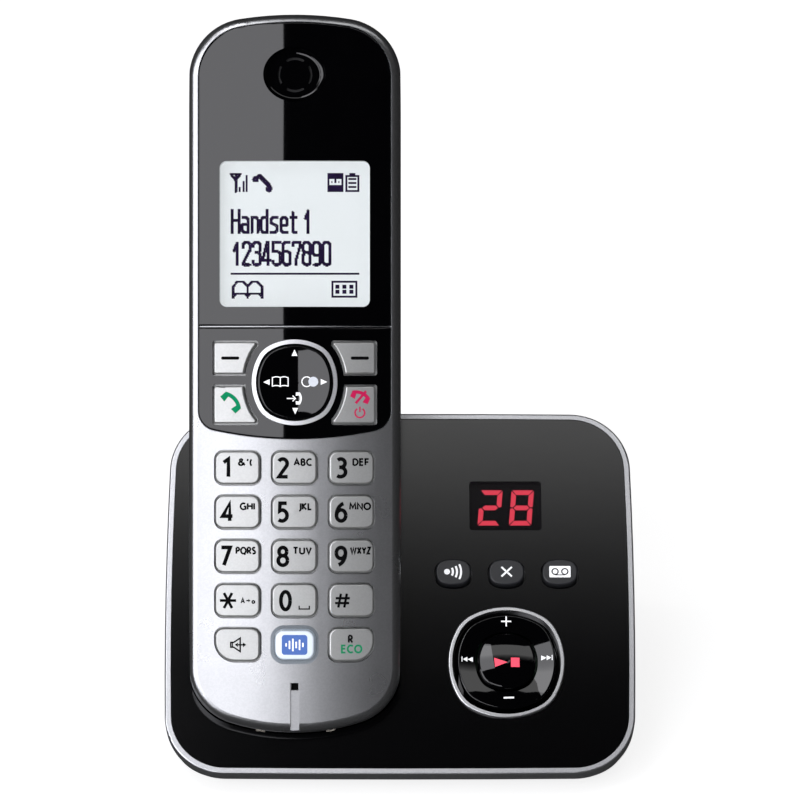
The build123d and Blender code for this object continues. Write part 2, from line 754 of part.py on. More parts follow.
def navigation_pivot():
    """Hub with crossed pins that lets the four-way key tip both ways."""
    centre = (0, NAV_Y)
    half = NAV_PIVOT_THICKNESS / 2
    hub = rod(NAV_PIVOT_RADIUS, centre, NAV_PIVOT_LEVEL - half, NAV_PIVOT_LEVEL + half)
    return hub + pivot_pins(NAV_PIN_RADIUS, NAV_EAR_OUTER, NAV_PIN_END, centre, NAV_PIVOT_LEVEL)


def navigation_bracket():
    """Bracket on the rubber sheet that carries the four-way key's pivot."""
    inner = NAV_PIVOT_RADIUS + PIN_BEARING_GAP
    bearing = NAV_PIN_RADIUS + PIN_BEARING_GAP
    return pivot_bracket(inner, NAV_EAR_OUTER, MAT_TOP, NAV_PIVOT_LEVEL, bearing, (0, NAV_Y))


def handset_rear_shell():
    """Dark rear shell with screw posts, battery tray, cover recess and ringer slots."""
    shell = (handset_block(0) - handset_block(SIDE_WALL)) & depth_band(-2 * HANDSET_THICKNESS, -SPLIT_DEPTH)
    envelope = handset_block(SIDE_WALL / 2) & depth_band(-2 * HANDSET_THICKNESS, -SPLIT_DEPTH - SEAM)
    for point in HANDSET_SCREWS:
        shell += rod(REAR_POST_RADIUS, point, -2 * HANDSET_THICKNESS, 0) & envelope
    shell += tray_outside() & envelope
    ledge = cover_prism(COVER_LEDGE + COVER_GAP) & envelope
    shell += ledge - handset_block(COVER_THICKNESS + COVER_LEDGE + SEAM)
    shell -= tray_inside()
    shell -= cover_recess()
    for point in HANDSET_SCREWS:
        shell -= rod(SMALL_HOLE, point, -2 * HANDSET_THICKNESS, 0)
        shell -= rod(SMALL_HEAD_RADIUS + SEAM, point, -2 * HANDSET_THICKNESS, POST_STOP)
    shell -= ringer_slots()
    for side in (-1, 1):
        shell -= charge_plate(side, SEAM, REACH)
    return shell - parting_groove()


def cover_prism(grow):
    """The battery cover's outline driven through the back as far as the parting line."""
    width = 2 * (COVER_HALF + grow)
    height = COVER_HIGH_Y - COVER_LOW_Y + 2 * grow
    face = RectangleRounded(width, height, COVER_CORNER + max(grow, 0))
    return Pos(0, (COVER_LOW_Y + COVER_HIGH_Y) / 2) * slab(face, -2 * HANDSET_THICKNESS, -SPLIT_DEPTH)


def cover_pivot(radius, half_length):
    """Rod along the cover's lower edge that it turns on."""
    depth = back_depth(COVER_LOW_Y + COVER_PIVOT_RADIUS, COVER_PIVOT_RADIUS)
    bar = Rot(0, 90, 0) * Cylinder(radius, 2 * half_length)
    return Pos(0, COVER_LOW_Y + COVER_PIVOT_RADIUS, -depth) * bar


def cover_recess():
    """Room for the cover: its outline with a gap, down to the ledge it closes on."""
    recess = cover_prism(COVER_GAP) - handset_block(COVER_THICKNESS + SEAM)
    return recess + cover_pivot(COVER_PIVOT_RADIUS + COVER_GAP, COVER_HALF + COVER_GAP)


def battery_cover():
    """Battery door that turns on its lower edge, with a finger notch at the top."""
    cover = cover_prism(0) & handset_block(0)
    cover -= handset_block(COVER_THICKNESS)
    straight = COVER_LOW_Y + COVER_PIVOT_RADIUS
    cover = cover & block_between((-COVER_HALF, COVER_HALF), (straight, HANDSET_LENGTH), (-50, 0))
    cover += cover_pivot(COVER_PIVOT_RADIUS, COVER_HALF - COVER_CORNER)
    return cover - finger_notch()


def finger_notch():
    """Shallow finger hollow near the cover's upper edge."""
    y = COVER_HIGH_Y - 2 * NOTCH_HEIGHT
    centre = Pos(0, y, NOTCH_DEPTH - NOTCH_HEIGHT - back_depth(y, 0))
    return centre * Rot(0, 90, 0) * Cylinder(NOTCH_HEIGHT, NOTCH_WIDTH)


def tray_limits(grow):
    """Sideways and lengthways limits of the battery tray's room, grown by a wall."""
    half = CELL_SPACING / 2 + CELL_RADIUS + TRAY_CLEARANCE + grow
    low = CELL_LOW_Y - TRAY_CONTACT_SPACE - grow
    high = CELL_LOW_Y + CELL_LENGTH + TRAY_CONTACT_SPACE + grow
    return (-half, half), (low, high)


def tray_outside():
    """Block that the battery tray is hollowed from."""
    across, along = tray_limits(TRAY_WALL)
    top = -CELL_DEPTH + CELL_RADIUS + TRAY_CLEARANCE + TRAY_WALL
    return block_between(across, along, (-2 * HANDSET_THICKNESS, top))


def tray_inside():
    """Room for the two cells, open at the back."""
    across, along = tray_limits(0)
    return block_between(across, along, (-2 * HANDSET_THICKNESS, -CELL_DEPTH + CELL_RADIUS + TRAY_CLEARANCE))


def battery_cells():
    """Two AAA cells side by side, lying the opposite way round."""
    cells = []
    middle = CELL_LOW_Y + CELL_LENGTH / 2
    for side in (-1, 1):
        nub = Rot(-90, 0, 0) * Cylinder(CELL_NUB_RADIUS, CELL_LENGTH / 2)
        can = Rot(-90, 0, 0) * Cylinder(CELL_RADIUS, CELL_LENGTH - CELL_NUB)
        cell = Pos(0, -side * CELL_NUB / 2) * can + Pos(0, side * CELL_LENGTH / 4) * nub
        cells.append(Pos(side * CELL_SPACING / 2, middle, -CELL_DEPTH) * cell)
    return Compound(children=cells)


def battery_contacts():
    """Four contact plates with a stud, one at each end of each cell."""
    along = tray_limits(0)[1]
    stud_length = TRAY_CONTACT_SPACE - STUD_GAP
    stud = Rot(-90, 0, 0) * Cylinder(STUD_RADIUS, stud_length)
    plate = Box(CELL_RADIUS * 1.5, PLATE_THICKNESS, CELL_RADIUS * 1.5)
    plates = []
    for side in (-1, 1):
        for end, inwards in ((along[0], 1), (along[1], -1)):
            contact = Pos(0, inwards * PLATE_THICKNESS / 2) * plate
            contact += Pos(0, inwards * stud_length / 2) * stud
            plates.append(Pos(side * CELL_SPACING / 2, end, -CELL_DEPTH) * contact)
    return Compound(children=plates)


def ringer_slots():
    """Row of sound slots in the back."""
    slots = []
    for index in range(RINGER_SLOTS):
        y = RINGER_Y + (index - (RINGER_SLOTS - 1) / 2) * RINGER_SLOT_PITCH
        slot = slab(SlotOverall(RINGER_SLOT_LENGTH, RINGER_SLOT_WIDTH), -2 * HANDSET_THICKNESS, -SPLIT_DEPTH)
        slots.append(Pos(0, y) * slot)
    return slots


def ringer_speaker():
    """Ringer behind its slots."""
    low = -back_depth(RINGER_Y + RINGER_RADIUS, SIDE_WALL) + RINGER_STANDOFF
    return rod(RINGER_RADIUS, (0, RINGER_Y), low, low + RINGER_HEIGHT)


def earpiece_speaker():
    """Receiver capsule behind the dish."""
    top = -EAR_BOSS_DEPTH - SEAM
    return rod(EAR_SPEAKER_RADIUS, (0, EAR_Y), top - EAR_SPEAKER_HEIGHT, top)


def microphone():
    """Microphone capsule behind its hole."""
    top = -FACE_WALL - SEAM
    return rod(MIC_RADIUS, (0, MIC_TOP_Y - MIC_HOLE / 2), top - MIC_HEIGHT, top)


def keypad_mat():
    """Rubber sheet behind the keys with a dome under each."""
    half = HANDSET_WIDTH / 2 - MAT_MARGIN
    sheet = block_between((-half, half), (MAT_LOW_Y, MAT_HIGH_Y), (MAT_TOP - MAT_THICKNESS, MAT_TOP))
    low = MAT_TOP - MAT_THICKNESS / 2
    for _, centre in keypad_keys():
        sheet += rod(KEY_HEIGHT / 3, centre, low, MAT_TOP + SEAM)
    for _, key_low, key_high, side in side_keys():
        centre = (side * (SIDE_KEY_OUTER + SIDE_KEY_HOLLOW) / 2, (key_low + key_high) / 2)
        sheet += rod(KEY_HEIGHT / 3, centre, low, MAT_TOP + SEAM)
    return sheet


def handset_main_board():
    """Circuit board, cut round the screw posts."""
    half = HANDSET_WIDTH / 2 - PCB_MARGIN
    face = crowned_outline(half, PCB_LOW_Y, PCB_HIGH_Y, BOTTOM_BOW, TOP_BOW, BOTTOM_CORNER, TOP_CORNER)
    board = slab(face, PCB_TOP - PCB_THICKNESS, PCB_TOP)
    for point in HANDSET_SCREWS:
        board -= rod(POST_RADIUS + KEY_GAP, point, -REACH * 2, 0)
    return board


def handset_screws():
    """Four screws from the back into the front shell's posts."""
    screws = []
    for point in HANDSET_SCREWS:
        shank = rod(SMALL_SHANK_RADIUS, point, POST_STOP - 0.5, SMALL_SCREW_TIP)
        head = rod(SMALL_HEAD_RADIUS, point, POST_STOP - SMALL_HEAD_HEIGHT, POST_STOP)
        slot = block_between((point[0] - 1.4, point[0] + 1.4), (point[1] - 0.3, point[1] + 0.3),
                             (POST_STOP - 2 * SMALL_HEAD_HEIGHT, POST_STOP - SMALL_HEAD_HEIGHT / 2))
        screws.append(shank + head - slot)
    return Compound(children=screws)


def charge_plate(side, grow, outwards):
    """Charging contact plate in the lower end; grown and run outwards it is its own seat."""
    across = (side * PIN_SPREAD - PLATE_WIDTH / 2 - grow, side * PIN_SPREAD + PLATE_WIDTH / 2 + grow)
    along = (PLATE_SETBACK - outwards, PLATE_SETBACK + PLATE_THICKNESS)
    deep = (-PIN_DEPTH - PLATE_HEIGHT / 2 - grow, -PIN_DEPTH + PLATE_HEIGHT / 2 + grow)
    return block_between(across, along, deep)


def handset_charge_contacts():
    """Both charging plates of the handset."""
    return Compound(children=[charge_plate(-1, 0, 0), charge_plate(1, 0, 0)])


# ---- base case --------------------------------------------------------------------
def deck_outline(inset):
    """Outline of the base's sloping top."""
    return crowned_outline(BASE_WIDTH / 2 - inset, inset, DECK_LENGTH - inset, DECK_END_BOW, DECK_END_BOW,
                           DECK_CORNER - inset, DECK_CORNER - inset, side_bow=DECK_SIDE_BOW)


def base_trim_band():
    """Silver band round the deck."""
    band = slab(deck_outline(0), -RIM_HEIGHT, 0)
    band = fillet(top_edges(band), RIM_EDGE)
    return band - slab(deck_outline(RIM_WIDTH), -2 * RIM_HEIGHT, RIM_HEIGHT)


def case_form(inset):
    """Lower case: a wedge under the deck, cut by its back and its plan, in the world frame."""
    under_deck = DECK.location * slab(deck_outline(CASE_INSET + inset), -CASE_DROP, -RIM_HEIGHT)
    corner = DECK.from_local_coords((0, DECK_LENGTH - CASE_INSET, -RIM_HEIGHT))
    foot_y = BASE_DEPTH / 2
    lean = (foot_y - corner.Y) / (corner.Z - FOOT_HEIGHT)
    shift = inset * math.sqrt(1 + lean * lean)
    top_z = 2 * corner.Z
    top_y = foot_y - lean * (top_z - FOOT_HEIGHT)
    low_z = FOOT_HEIGHT + inset
    low_y = foot_y - lean * inset
    profile = Polyline((-BASE_DEPTH, low_z), (low_y - shift, low_z), (top_y - shift, top_z),
                       (-BASE_DEPTH, top_z), close=True)
    side_view = extrude(Plane.YZ * make_face(profile), BASE_WIDTH, both=True)
    half = BASE_WIDTH / 2 - CASE_INSET - inset
    plan = crowned_outline(half, -BASE_DEPTH, foot_y - inset, 0, 0, 1.0, DECK_CORNER - inset)
    return under_deck & side_view & slab(plan, 0, top_z)


def base_bottom_housing():
    """Black lower case with floor pads, jack ports, grille and foot recesses."""
    top_room = DECK.location * slab(deck_outline(CASE_INSET + CASE_WALL), -CASE_DROP / 4, REACH)
    case = case_form(0) - case_form(CASE_WALL) - (top_room & case_form_room())
    floor = FOOT_HEIGHT + CASE_WALL
    for point in BASE_SCREWS:
        case += rod(SCREW_PAD_RADIUS, point, FOOT_HEIGHT + SEAM, floor + SCREW_PAD_HEIGHT) & case_form(SEAM)
    for x, width in ((LINE_JACK_X, LINE_JACK_WIDTH), (POWER_JACK_X, POWER_JACK_WIDTH)):
        case += block_between((x - width / 2, x + width / 2), jack_depth_range(),
                              (floor - SEAM, floor + JACK_LIFT))
    for point in BASE_SCREWS:
        case -= rod(SCREW_SHANK_RADIUS + PIN_CLEARANCE, point, 0, 3 * floor)
        case -= rod(SCREW_HEAD_RADIUS + PIN_CLEARANCE, point, 0, floor + SEAM)
    for x, width in ((LINE_JACK_X, LINE_JACK_WIDTH), (POWER_JACK_X, POWER_JACK_WIDTH)):
        case -= jack_port(x, width)
    for x, y in foot_points():
        case -= rod(FOOT_RADIUS + SEAM, (x, y), 0, FOOT_HEIGHT + FOOT_RECESS)
    for slot in grille_slots():
        case -= slot
    return case


def case_form_room():
    """Space between the case's inner sides, carried up past its open top."""
    reach = 2 * BASE_WIDTH
    lift = DECK.location * block_between((-reach, reach), (-reach, reach), (-RIM_HEIGHT - 2, REACH))
    return lift


def jack_depth_range():
    """Front and back limit of the jacks."""
    back = BASE_DEPTH / 2 - JACK_BACK_SETBACK
    return (back - JACK_DEPTH, back)


def jack_centre_z():
    """Height of the jacks' middle."""
    return FOOT_HEIGHT + CASE_WALL + JACK_LIFT + JACK_HEIGHT / 2


def jack_port(x, width):
    """Room for a jack, open through the back wall."""
    z = jack_centre_z()
    half_width = width / 2 + SEAM
    half_height = JACK_HEIGHT / 2 + SEAM
    front = jack_depth_range()[0] - SEAM
    return block_between((x - half_width, x + half_width), (front, BASE_DEPTH),
                         (z - half_height, z + half_height))


def jack_body(x, width, mouth_width, mouth_height, ridges):
    """Socket block with contact ridges along the mouth's roof."""
    z = jack_centre_z()
    along = jack_depth_range()
    inner = along[1] - JACK_MOUTH_DEPTH
    body = block_between((x - width / 2, x + width / 2), along, (z - JACK_HEIGHT / 2, z + JACK_HEIGHT / 2))
    mouth = block_between((x - mouth_width / 2, x + mouth_width / 2), (inner, BASE_DEPTH),
                          (z - mouth_height / 2, z + mouth_height / 2))
    body -= mouth
    pitch = mouth_width / (ridges + 1)
    for index in range(ridges):
        centre = x - mouth_width / 2 + pitch * (index + 1)
        body += block_between((centre - RIDGE / 2, centre + RIDGE / 2), (inner, along[1] - JACK_LEAD_IN),
                              (z + mouth_height / 2 - RIDGE, z + mouth_height / 2))
    return body


def base_line_jack():
    """Modular telephone line socket."""
    return jack_body(LINE_JACK_X, LINE_JACK_WIDTH, LINE_MOUTH_WIDTH, LINE_MOUTH_HEIGHT, 4)


def base_power_jack():
    """Two-pole low-voltage power socket."""
    return jack_body(POWER_JACK_X, POWER_JACK_WIDTH, POWER_MOUTH_WIDTH, POWER_MOUTH_HEIGHT, 2)


def foot_points():
    """Where the four feet are."""
    return [(x, y) for x in (-FOOT_SPREAD_X, FOOT_SPREAD_X) for y in (FOOT_FRONT_Y, FOOT_BACK_Y)]


def base_feet():
    """Four rubber feet let into the floor."""
    feet = []
    for x, y in foot_points():
        foot = rod(FOOT_RADIUS, (x, y), 0, FOOT_HEIGHT + FOOT_RECESS)
        feet.append(chamfer(foot.edges().sort_by(Axis.Z)[0], 0.4))
    return Compound(children=feet)


def grille_slots():
    """Sound slots in the floor under the speaker."""
    slots = []
    for index in range(GRILLE_SLOTS):
        offset = (index - (GRILLE_SLOTS - 1) / 2) * GRILLE_PITCH
        length = 2 * math.sqrt((SPEAKER_RADIUS - 1) ** 2 - offset**2)
        slot = slab(Rot(0, 0, 90) * SlotOverall(length, GRILLE_SLOT), 0, FOOT_HEIGHT + CASE_WALL + SEAM)
        slots.append(Pos(SPEAKER_X + offset, SPEAKER_Y) * slot)
    return slots


def base_speaker():
    """Loudspeaker: basket and magnet."""
    floor = FOOT_HEIGHT + CASE_WALL + SEAM
    basket = rod(SPEAKER_RADIUS, (SPEAKER_X, SPEAKER_Y), floor, floor + SPEAKER_HEIGHT / 2)
    magnet = rod(SPEAKER_RADIUS * 0.6, (SPEAKER_X, SPEAKER_Y), floor, floor + SPEAKER_HEIGHT)
    return basket + magnet


def base_screws():
    """Four case screws from below."""
    head_top = FOOT_HEIGHT + CASE_WALL
    screws = []
    for x, y in BASE_SCREWS:
        head = rod(SCREW_HEAD_RADIUS, (x, y), head_top - SCREW_HEAD_HEIGHT, head_top)
        shank = rod(SCREW_SHANK_RADIUS, (x, y), head_top - SEAM, head_top + SCREW_LENGTH)
        cross = Box(3.0, 0.6, SCREW_HEAD_HEIGHT) + Box(0.6, 3.0, SCREW_HEAD_HEIGHT)
        screws.append(head + shank - Pos(x, y, head_top - SCREW_HEAD_HEIGHT) * cross)
    return Compound(children=screws)


# ---- base cover and cradle, drawn in the deck frame --------------------------------
def on_deck(solid):
    """Move a solid drawn in the handset's frame into the deck's frame."""
    return DECK.location.inverse() * (FACE.location * solid)


def world_on_deck(solid):
    """Move a solid drawn in the world frame into the deck's frame."""
    return DECK.location.inverse() * solid


def under_deck(top):
    """Everything inside the rim and below a height in the deck frame."""
    return slab(deck_outline(RIM_WIDTH + SEAM), -CASE_DROP, top)


def cradle_walls():
    """Outer form of the trough that holds the handset's lower end."""
    grown = on_deck(handset_block(-CRADLE_GAP - CRADLE_WALL))
    return grown & under_deck(-DECK_DROP - SEAM)


def backrest():
    """Saddle on the upper deck that the handset's back lies against."""
    height = BACKREST_HIGH - BACKREST_LOW
    face = RectangleRounded(2 * BACKREST_HALF, height, BACKREST_CORNER)
    block = slab(face, -DECK_THICKNESS, BACKREST_REACH)
    return Pos(HANDSET_X, (BACKREST_LOW + BACKREST_HIGH) / 2) * block


def screw_columns():
    """Tall posts from the deck down to the case's screw pads."""
    bottom = FOOT_HEIGHT + CASE_WALL + SCREW_PAD_HEIGHT + SEAM
    columns = []
    room = under_deck(-DECK_DROP - DECK_THICKNESS / 2)
    for point in BASE_SCREWS:
        column = world_on_deck(rod(BOSS_RADIUS, point, bottom, 2 * BASE_DEPTH)) & room
        pilot = world_on_deck(rod(BOSS_PILOT, point, 0, bottom + BOSS_PILOT_DEPTH))
        columns.append(column - pilot)
    return columns


def board_posts():
    """Four short posts that the circuit board is fixed to."""
    inset = BOARD_POST_INSET
    return [rod(BOARD_POST_RADIUS, (x, v), BASE_BOARD_TOP + PANEL_BED, -DECK_DROP - DECK_THICKNESS / 2)
            for x in (BASE_BOARD_LEFT + inset, BASE_BOARD_RIGHT - inset)
            for v in (BASE_BOARD_LOW + inset, BASE_BOARD_HIGH - inset)]


def oval_points():
    """Base function keys: name and place on the deck."""
    names = ("base_locator_key", "base_erase_key", "base_answer_key")
    places = [OVAL_MIDDLE_X + step * OVAL_PITCH for step in (-1, 0, 1)]
    return [(name, (x, OVAL_ROW_V)) for name, x in zip(names, places)]


def oval_face(grow, centre):
    """Oval key outline."""
    half = OVAL_WIDTH / 2 + grow
    rise = OVAL_HEIGHT / 2 + grow
    outline = crowned_outline(half, -rise, rise, 0.25 * rise, 0.25 * rise, 0.78 * rise, 0.78 * rise,
                              side_bow=0.12 * half)
    return Pos(*centre) * outline


def base_top_cover():
    """Black deck with the cradle, the control openings and the screw posts."""
    cover = slab(deck_outline(RIM_WIDTH + SEAM), -DECK_DROP - DECK_THICKNESS, -DECK_DROP)
    skirt = deck_outline(RIM_WIDTH + SEAM) - deck_outline(RIM_WIDTH + SEAM + SKIRT_WIDTH)
    cover += slab(skirt, -RIM_HEIGHT, -DECK_DROP)
    cover += cradle_walls()
    cover += backrest()
    for post in screw_columns() + board_posts():
        cover += post
    cover -= on_deck(handset_block(-CRADLE_GAP))
    for side in (-1, 1):
        cover -= on_deck(pin_slot(side))
    for _, centre in oval_points():
        cover -= slab(oval_face(OVAL_GAP, centre), -REACH, REACH)
    cover -= slab(soft_square(RING_HALF - RING_WALL - RING_LEDGE, (ROCKER_X, ROCKER_V)), -REACH, REACH)
    cover -= slab(soft_square(RING_HALF + SEAM / 2, (ROCKER_X, ROCKER_V)), -DECK_DROP - RING_SEAT, REACH)
    window = RectangleRounded(WINDOW_WIDTH + SEAM, WINDOW_HEIGHT + SEAM, WINDOW_CORNER)
    return cover - Pos(WINDOW_X, WINDOW_V) * slab(window, -REACH, REACH)


def base_rocker_ring():
    """Silver ring round the rocker key."""
    centre = (ROCKER_X, ROCKER_V)
    ring = slab(soft_square(RING_HALF, centre), -DECK_DROP - RING_SEAT, RING_PROUD)
    ring = fillet(top_edges(ring), RING_WALL / 3)
    return ring - slab(soft_square(RING_HALF - RING_WALL, centre), -REACH, REACH)


def base_button_flange(face_function, centre):
    """Flange below the deck that keeps a base key in its opening."""
    top = -DECK_DROP - DECK_THICKNESS - BUTTON_SLACK
    return slab(face_function(BUTTON_FLANGE, centre), top - BUTTON_FLANGE_THICKNESS, top)


def oval_key(centre):
    """One base function key."""
    low = -DECK_DROP - DECK_THICKNESS - BUTTON_SLACK - BUTTON_FLANGE_THICKNESS
    cap = slab(oval_face(0, centre), low, OVAL_PROUD)
    cap = fillet(top_edges(cap), KEY_EDGE)
    return cap + base_button_flange(oval_face, centre)


def base_rocker_key():
    """Dished four-way ring key: volume and skip."""
    centre = (ROCKER_X, ROCKER_V)
    low = ROCKER_FLANGE_TOP - ROCKER_FLANGE_THICKNESS
    cap = slab(soft_square(ROCKER_HALF, centre), low, REACH) - dish(ROCKER_DISH, ROCKER_FLOOR, centre)
    cap = fillet(top_edges(cap), KEY_EDGE)
    key = cap + slab(soft_square(ROCKER_FLANGE_HALF, centre), low, ROCKER_FLANGE_TOP)
    key -= slab(soft_square(ROCKER_BORE, centre), -REACH, REACH)
    end = GIMBAL_PIN_END + PIN_BEARING_GAP
    return key - cross_bar(GIMBAL_PIN_RADIUS + PIN_BEARING_GAP, end, centre, GIMBAL_LEVEL, True)


def base_rocker_pivot():
    """Gimbal ring with crossed pins inside the four-way key."""
    centre = (ROCKER_X, ROCKER_V)
    half = GIMBAL_THICKNESS / 2
    ring = rod(GIMBAL_OUTER, centre, GIMBAL_LEVEL - half, GIMBAL_LEVEL + half)
    ring += pivot_pins(GIMBAL_PIN_RADIUS, GIMBAL_EAR_OUTER, GIMBAL_PIN_END, centre, GIMBAL_LEVEL)
    return ring - rod(GIMBAL_INNER, centre, -2 * REACH, REACH)


def base_rocker_bracket():
    """Bracket on the board that carries the gimbal ring."""
    inner = GIMBAL_OUTER + PIN_BEARING_GAP
    bearing = GIMBAL_PIN_RADIUS + PIN_BEARING_GAP
    centre = (ROCKER_X, ROCKER_V)
    return pivot_bracket(inner, GIMBAL_EAR_OUTER, BASE_BOARD_TOP, GIMBAL_LEVEL, bearing, centre)


def base_play_key():
    """Play and stop key in the middle of the rocker."""
    centre = (ROCKER_X, ROCKER_V)
    cap = slab(soft_square(PLAY_HALF, centre), PLAY_UNDERSIDE, REACH) & dome(PLAY_DOME, PLAY_TOP, centre)
    cap = fillet(top_edges(cap), PLAY_EDGE)
    return cap + rod(PLAY_STEM_RADIUS, centre, PLAY_STEM_END, PLAY_UNDERSIDE + SEAM)


def base_display_window():
    """Smoked window over the message counter."""
    face = Pos(WINDOW_X, WINDOW_V) * RectangleRounded(WINDOW_WIDTH, WINDOW_HEIGHT, WINDOW_CORNER)
    return slab(face, -DECK_DROP - DECK_THICKNESS, -DECK_DROP)


def base_led_module():
    """Two-digit message counter on the board."""
    face = Pos(WINDOW_X, WINDOW_V) * Rectangle(WINDOW_WIDTH + 2 * LED_MARGIN, WINDOW_HEIGHT + 2 * LED_MARGIN)
    return slab(face, BASE_BOARD_TOP, -DECK_DROP - DECK_THICKNESS - LED_GAP)


def base_main_board():
    """Circuit board under the controls."""
    return block_between((BASE_BOARD_LEFT, BASE_BOARD_RIGHT), (BASE_BOARD_LOW, BASE_BOARD_HIGH),
                         (BASE_BOARD_TOP - BOARD_THICKNESS, BASE_BOARD_TOP))


# ---- charging pins, drawn in the handset's frame ------------------------------------
def pin_slot(side):
    """Opening in the cradle's end for one pin."""
    half_x = PIN_WIDTH / 2 + PIN_CLEARANCE
    half_z = PIN_THICKNESS / 2 + PIN_CLEARANCE
    x = side * PIN_SPREAD
    return block_between((x - half_x, x + half_x), (-2 * REACH, REACH / 2),
                         (-PIN_DEPTH - half_z, -PIN_DEPTH + half_z))


def charge_pin(side):
    """Sprung charging pin with its retaining collar."""
    x = side * PIN_SPREAD
    pin = block_between((x - PIN_WIDTH / 2, x + PIN_WIDTH / 2), (-PIN_FOOT, PIN_TIP),
                        (-PIN_DEPTH - PIN_THICKNESS / 2, -PIN_DEPTH + PIN_THICKNESS / 2))
    pin = fillet(pin.edges().group_by(Axis.Y)[-1], PIN_THICKNESS / 4)
    collar_top = -CRADLE_GAP - CRADLE_WALL - PIN_CLEARANCE
    collar = block_between((x - PIN_COLLAR_WIDTH / 2, x + PIN_COLLAR_WIDTH / 2),
                           (collar_top - PIN_COLLAR_HEIGHT, collar_top),
                           (-PIN_DEPTH - PIN_COLLAR_DEPTH / 2, -PIN_DEPTH + PIN_COLLAR_DEPTH / 2))
    return pin + collar


# ---- writing ------------------------------------------------------------------------
def write_handset():
    """Write every node drawn in the handset's frame."""
    makers = [handset_front_shell, handset_rear_shell, display_panel, navigation_panel, display_window,
              lcd_module, navigation_ring, navigation_key, navigation_pivot, navigation_bracket, keypad_mat,
              handset_main_board, earpiece_speaker, ringer_speaker, microphone, battery_cells,
              battery_contacts, battery_cover, handset_charge_contacts, handset_screws]
    for maker in makers:
        save(maker.__name__, FACE, maker())
    for name, centre in keypad_keys():
        save(name, FACE, keypad_key(name, centre))
    for name, low, high, side in side_keys():
        save(name, FACE, side_key(low, high, side))
    save("charge_contact_left", FACE, charge_pin(-1))
    save("charge_contact_right", FACE, charge_pin(1))


def write_base():
    """Write every node of the base."""
    deck_makers = [base_top_cover, base_trim_band, base_rocker_ring, base_rocker_key, base_rocker_pivot,
                   base_rocker_bracket, base_play_key, base_display_window, base_led_module, base_main_board]
    for maker in deck_makers:
        save(maker.__name__, DECK, maker())
    for name, centre in oval_points():
        save(name, DECK, oval_key(centre))
    desk_makers = [base_bottom_housing, base_line_jack, base_power_jack, base_feet, base_speaker, base_screws]
    for maker in desk_makers:
        save(maker.__name__, DESK, maker())


os.makedirs("parts", exist_ok=True)
write_handset()
write_base()
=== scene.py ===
"""Looks of a cordless telephone that stands in its charging and answering base.

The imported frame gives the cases, keys and joints.  This script dresses them in lacquer,
acrylic and moulded plastic, prints their legends, lights the two displays and sets up a
plain studio.  Sizes in millimetres become metres only where a mesh is made.
"""

import json
import logging
import math
from collections.abc import Callable, Mapping, Sequence
from dataclasses import dataclass, field
from enum import Enum

import bpy
from mathutils import Matrix, Vector
from mathutils.geometry import tessellate_polygon


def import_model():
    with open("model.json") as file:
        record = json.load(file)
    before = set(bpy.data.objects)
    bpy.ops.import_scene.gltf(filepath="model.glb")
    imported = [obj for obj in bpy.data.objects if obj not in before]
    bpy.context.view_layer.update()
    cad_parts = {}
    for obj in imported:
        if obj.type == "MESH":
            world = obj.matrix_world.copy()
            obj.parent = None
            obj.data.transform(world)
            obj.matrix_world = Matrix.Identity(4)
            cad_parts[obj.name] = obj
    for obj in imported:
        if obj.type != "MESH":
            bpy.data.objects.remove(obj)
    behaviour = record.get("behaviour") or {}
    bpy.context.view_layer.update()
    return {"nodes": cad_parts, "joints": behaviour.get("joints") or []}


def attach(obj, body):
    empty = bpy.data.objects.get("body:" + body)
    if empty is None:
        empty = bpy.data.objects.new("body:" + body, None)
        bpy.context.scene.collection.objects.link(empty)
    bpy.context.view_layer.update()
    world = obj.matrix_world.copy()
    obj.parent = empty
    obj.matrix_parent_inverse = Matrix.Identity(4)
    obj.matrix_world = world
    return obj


LOG = logging.getLogger("telephone")
MM = 0.001

# A flat point, a closed outline or open line of points, and a filled outline with its holes.
Point = tuple[float, float]
Loop = list[Point]
Mark = list[Loop]
# Height of a surface over a flat point, both in millimetres.
Height = Callable[[float, float], float]
Corner = tuple[float, float, float]
Tree = bpy.types.NodeTree
Socket = bpy.types.NodeSocket


def put_in_scene(name: str, data: bpy.types.ID) -> bpy.types.Object:
    """Make an object of some data and link it to the scene.

    Args:
        name: Name of the object.
        data: Mesh, light or camera.

    Returns:
        The new object.
    """
    made = bpy.data.objects.new(name, data)
    bpy.context.scene.collection.objects.link(made)
    return made


# ---- shader helpers -----------------------------------------------------------------
def linear(hex_colour: str) -> tuple[float, float, float, float]:
    """Turn an sRGB hex colour into linear light.

    Args:
        hex_colour: Colour such as "#C8C9CB".

    Returns:
        Linear red, green, blue and an alpha of one.
    """
    parts = [int(hex_colour[i:i + 2], 16) / 255 for i in (1, 3, 5)]
    red, green, blue = (part / 12.92 if part <= 0.04045 else ((part + 0.055) / 1.055) ** 2.4
                        for part in parts)
    return (red, green, blue, 1.0)


def add_node(
    tree: Tree,
    kind: str,
    settings: Mapping[str, object] | None = None,
    inputs: Mapping[str | int, object] | None = None,
    links: Mapping[str | int, Socket] | None = None,
) -> bpy.types.Node:
    """Add one node with its settings, input values and links.

    Args:
        tree: Node tree to add to.
        kind: Node type name.
        settings: Properties of the node.
        inputs: Values for unlinked input sockets, by name or number.
        links: Output sockets that feed this node's inputs, by name or number.

    Returns:
        The new node.
    """
    node = tree.nodes.new(kind)
    for name, value in (settings or {}).items():
        setattr(node, name, value)
    for name, value in (inputs or {}).items():
        node.inputs[name].default_value = value
    for name, socket in (links or {}).items():
        tree.links.new(socket, node.inputs[name])
    return node


# Where the two colours of a noise or a flake field begin to mix, so that both show.
RAMP_STOPS = (0.3, 0.7)
# A wave texture draws about this many lines in one unit of its scale.
WAVES_PER_UNIT = 6


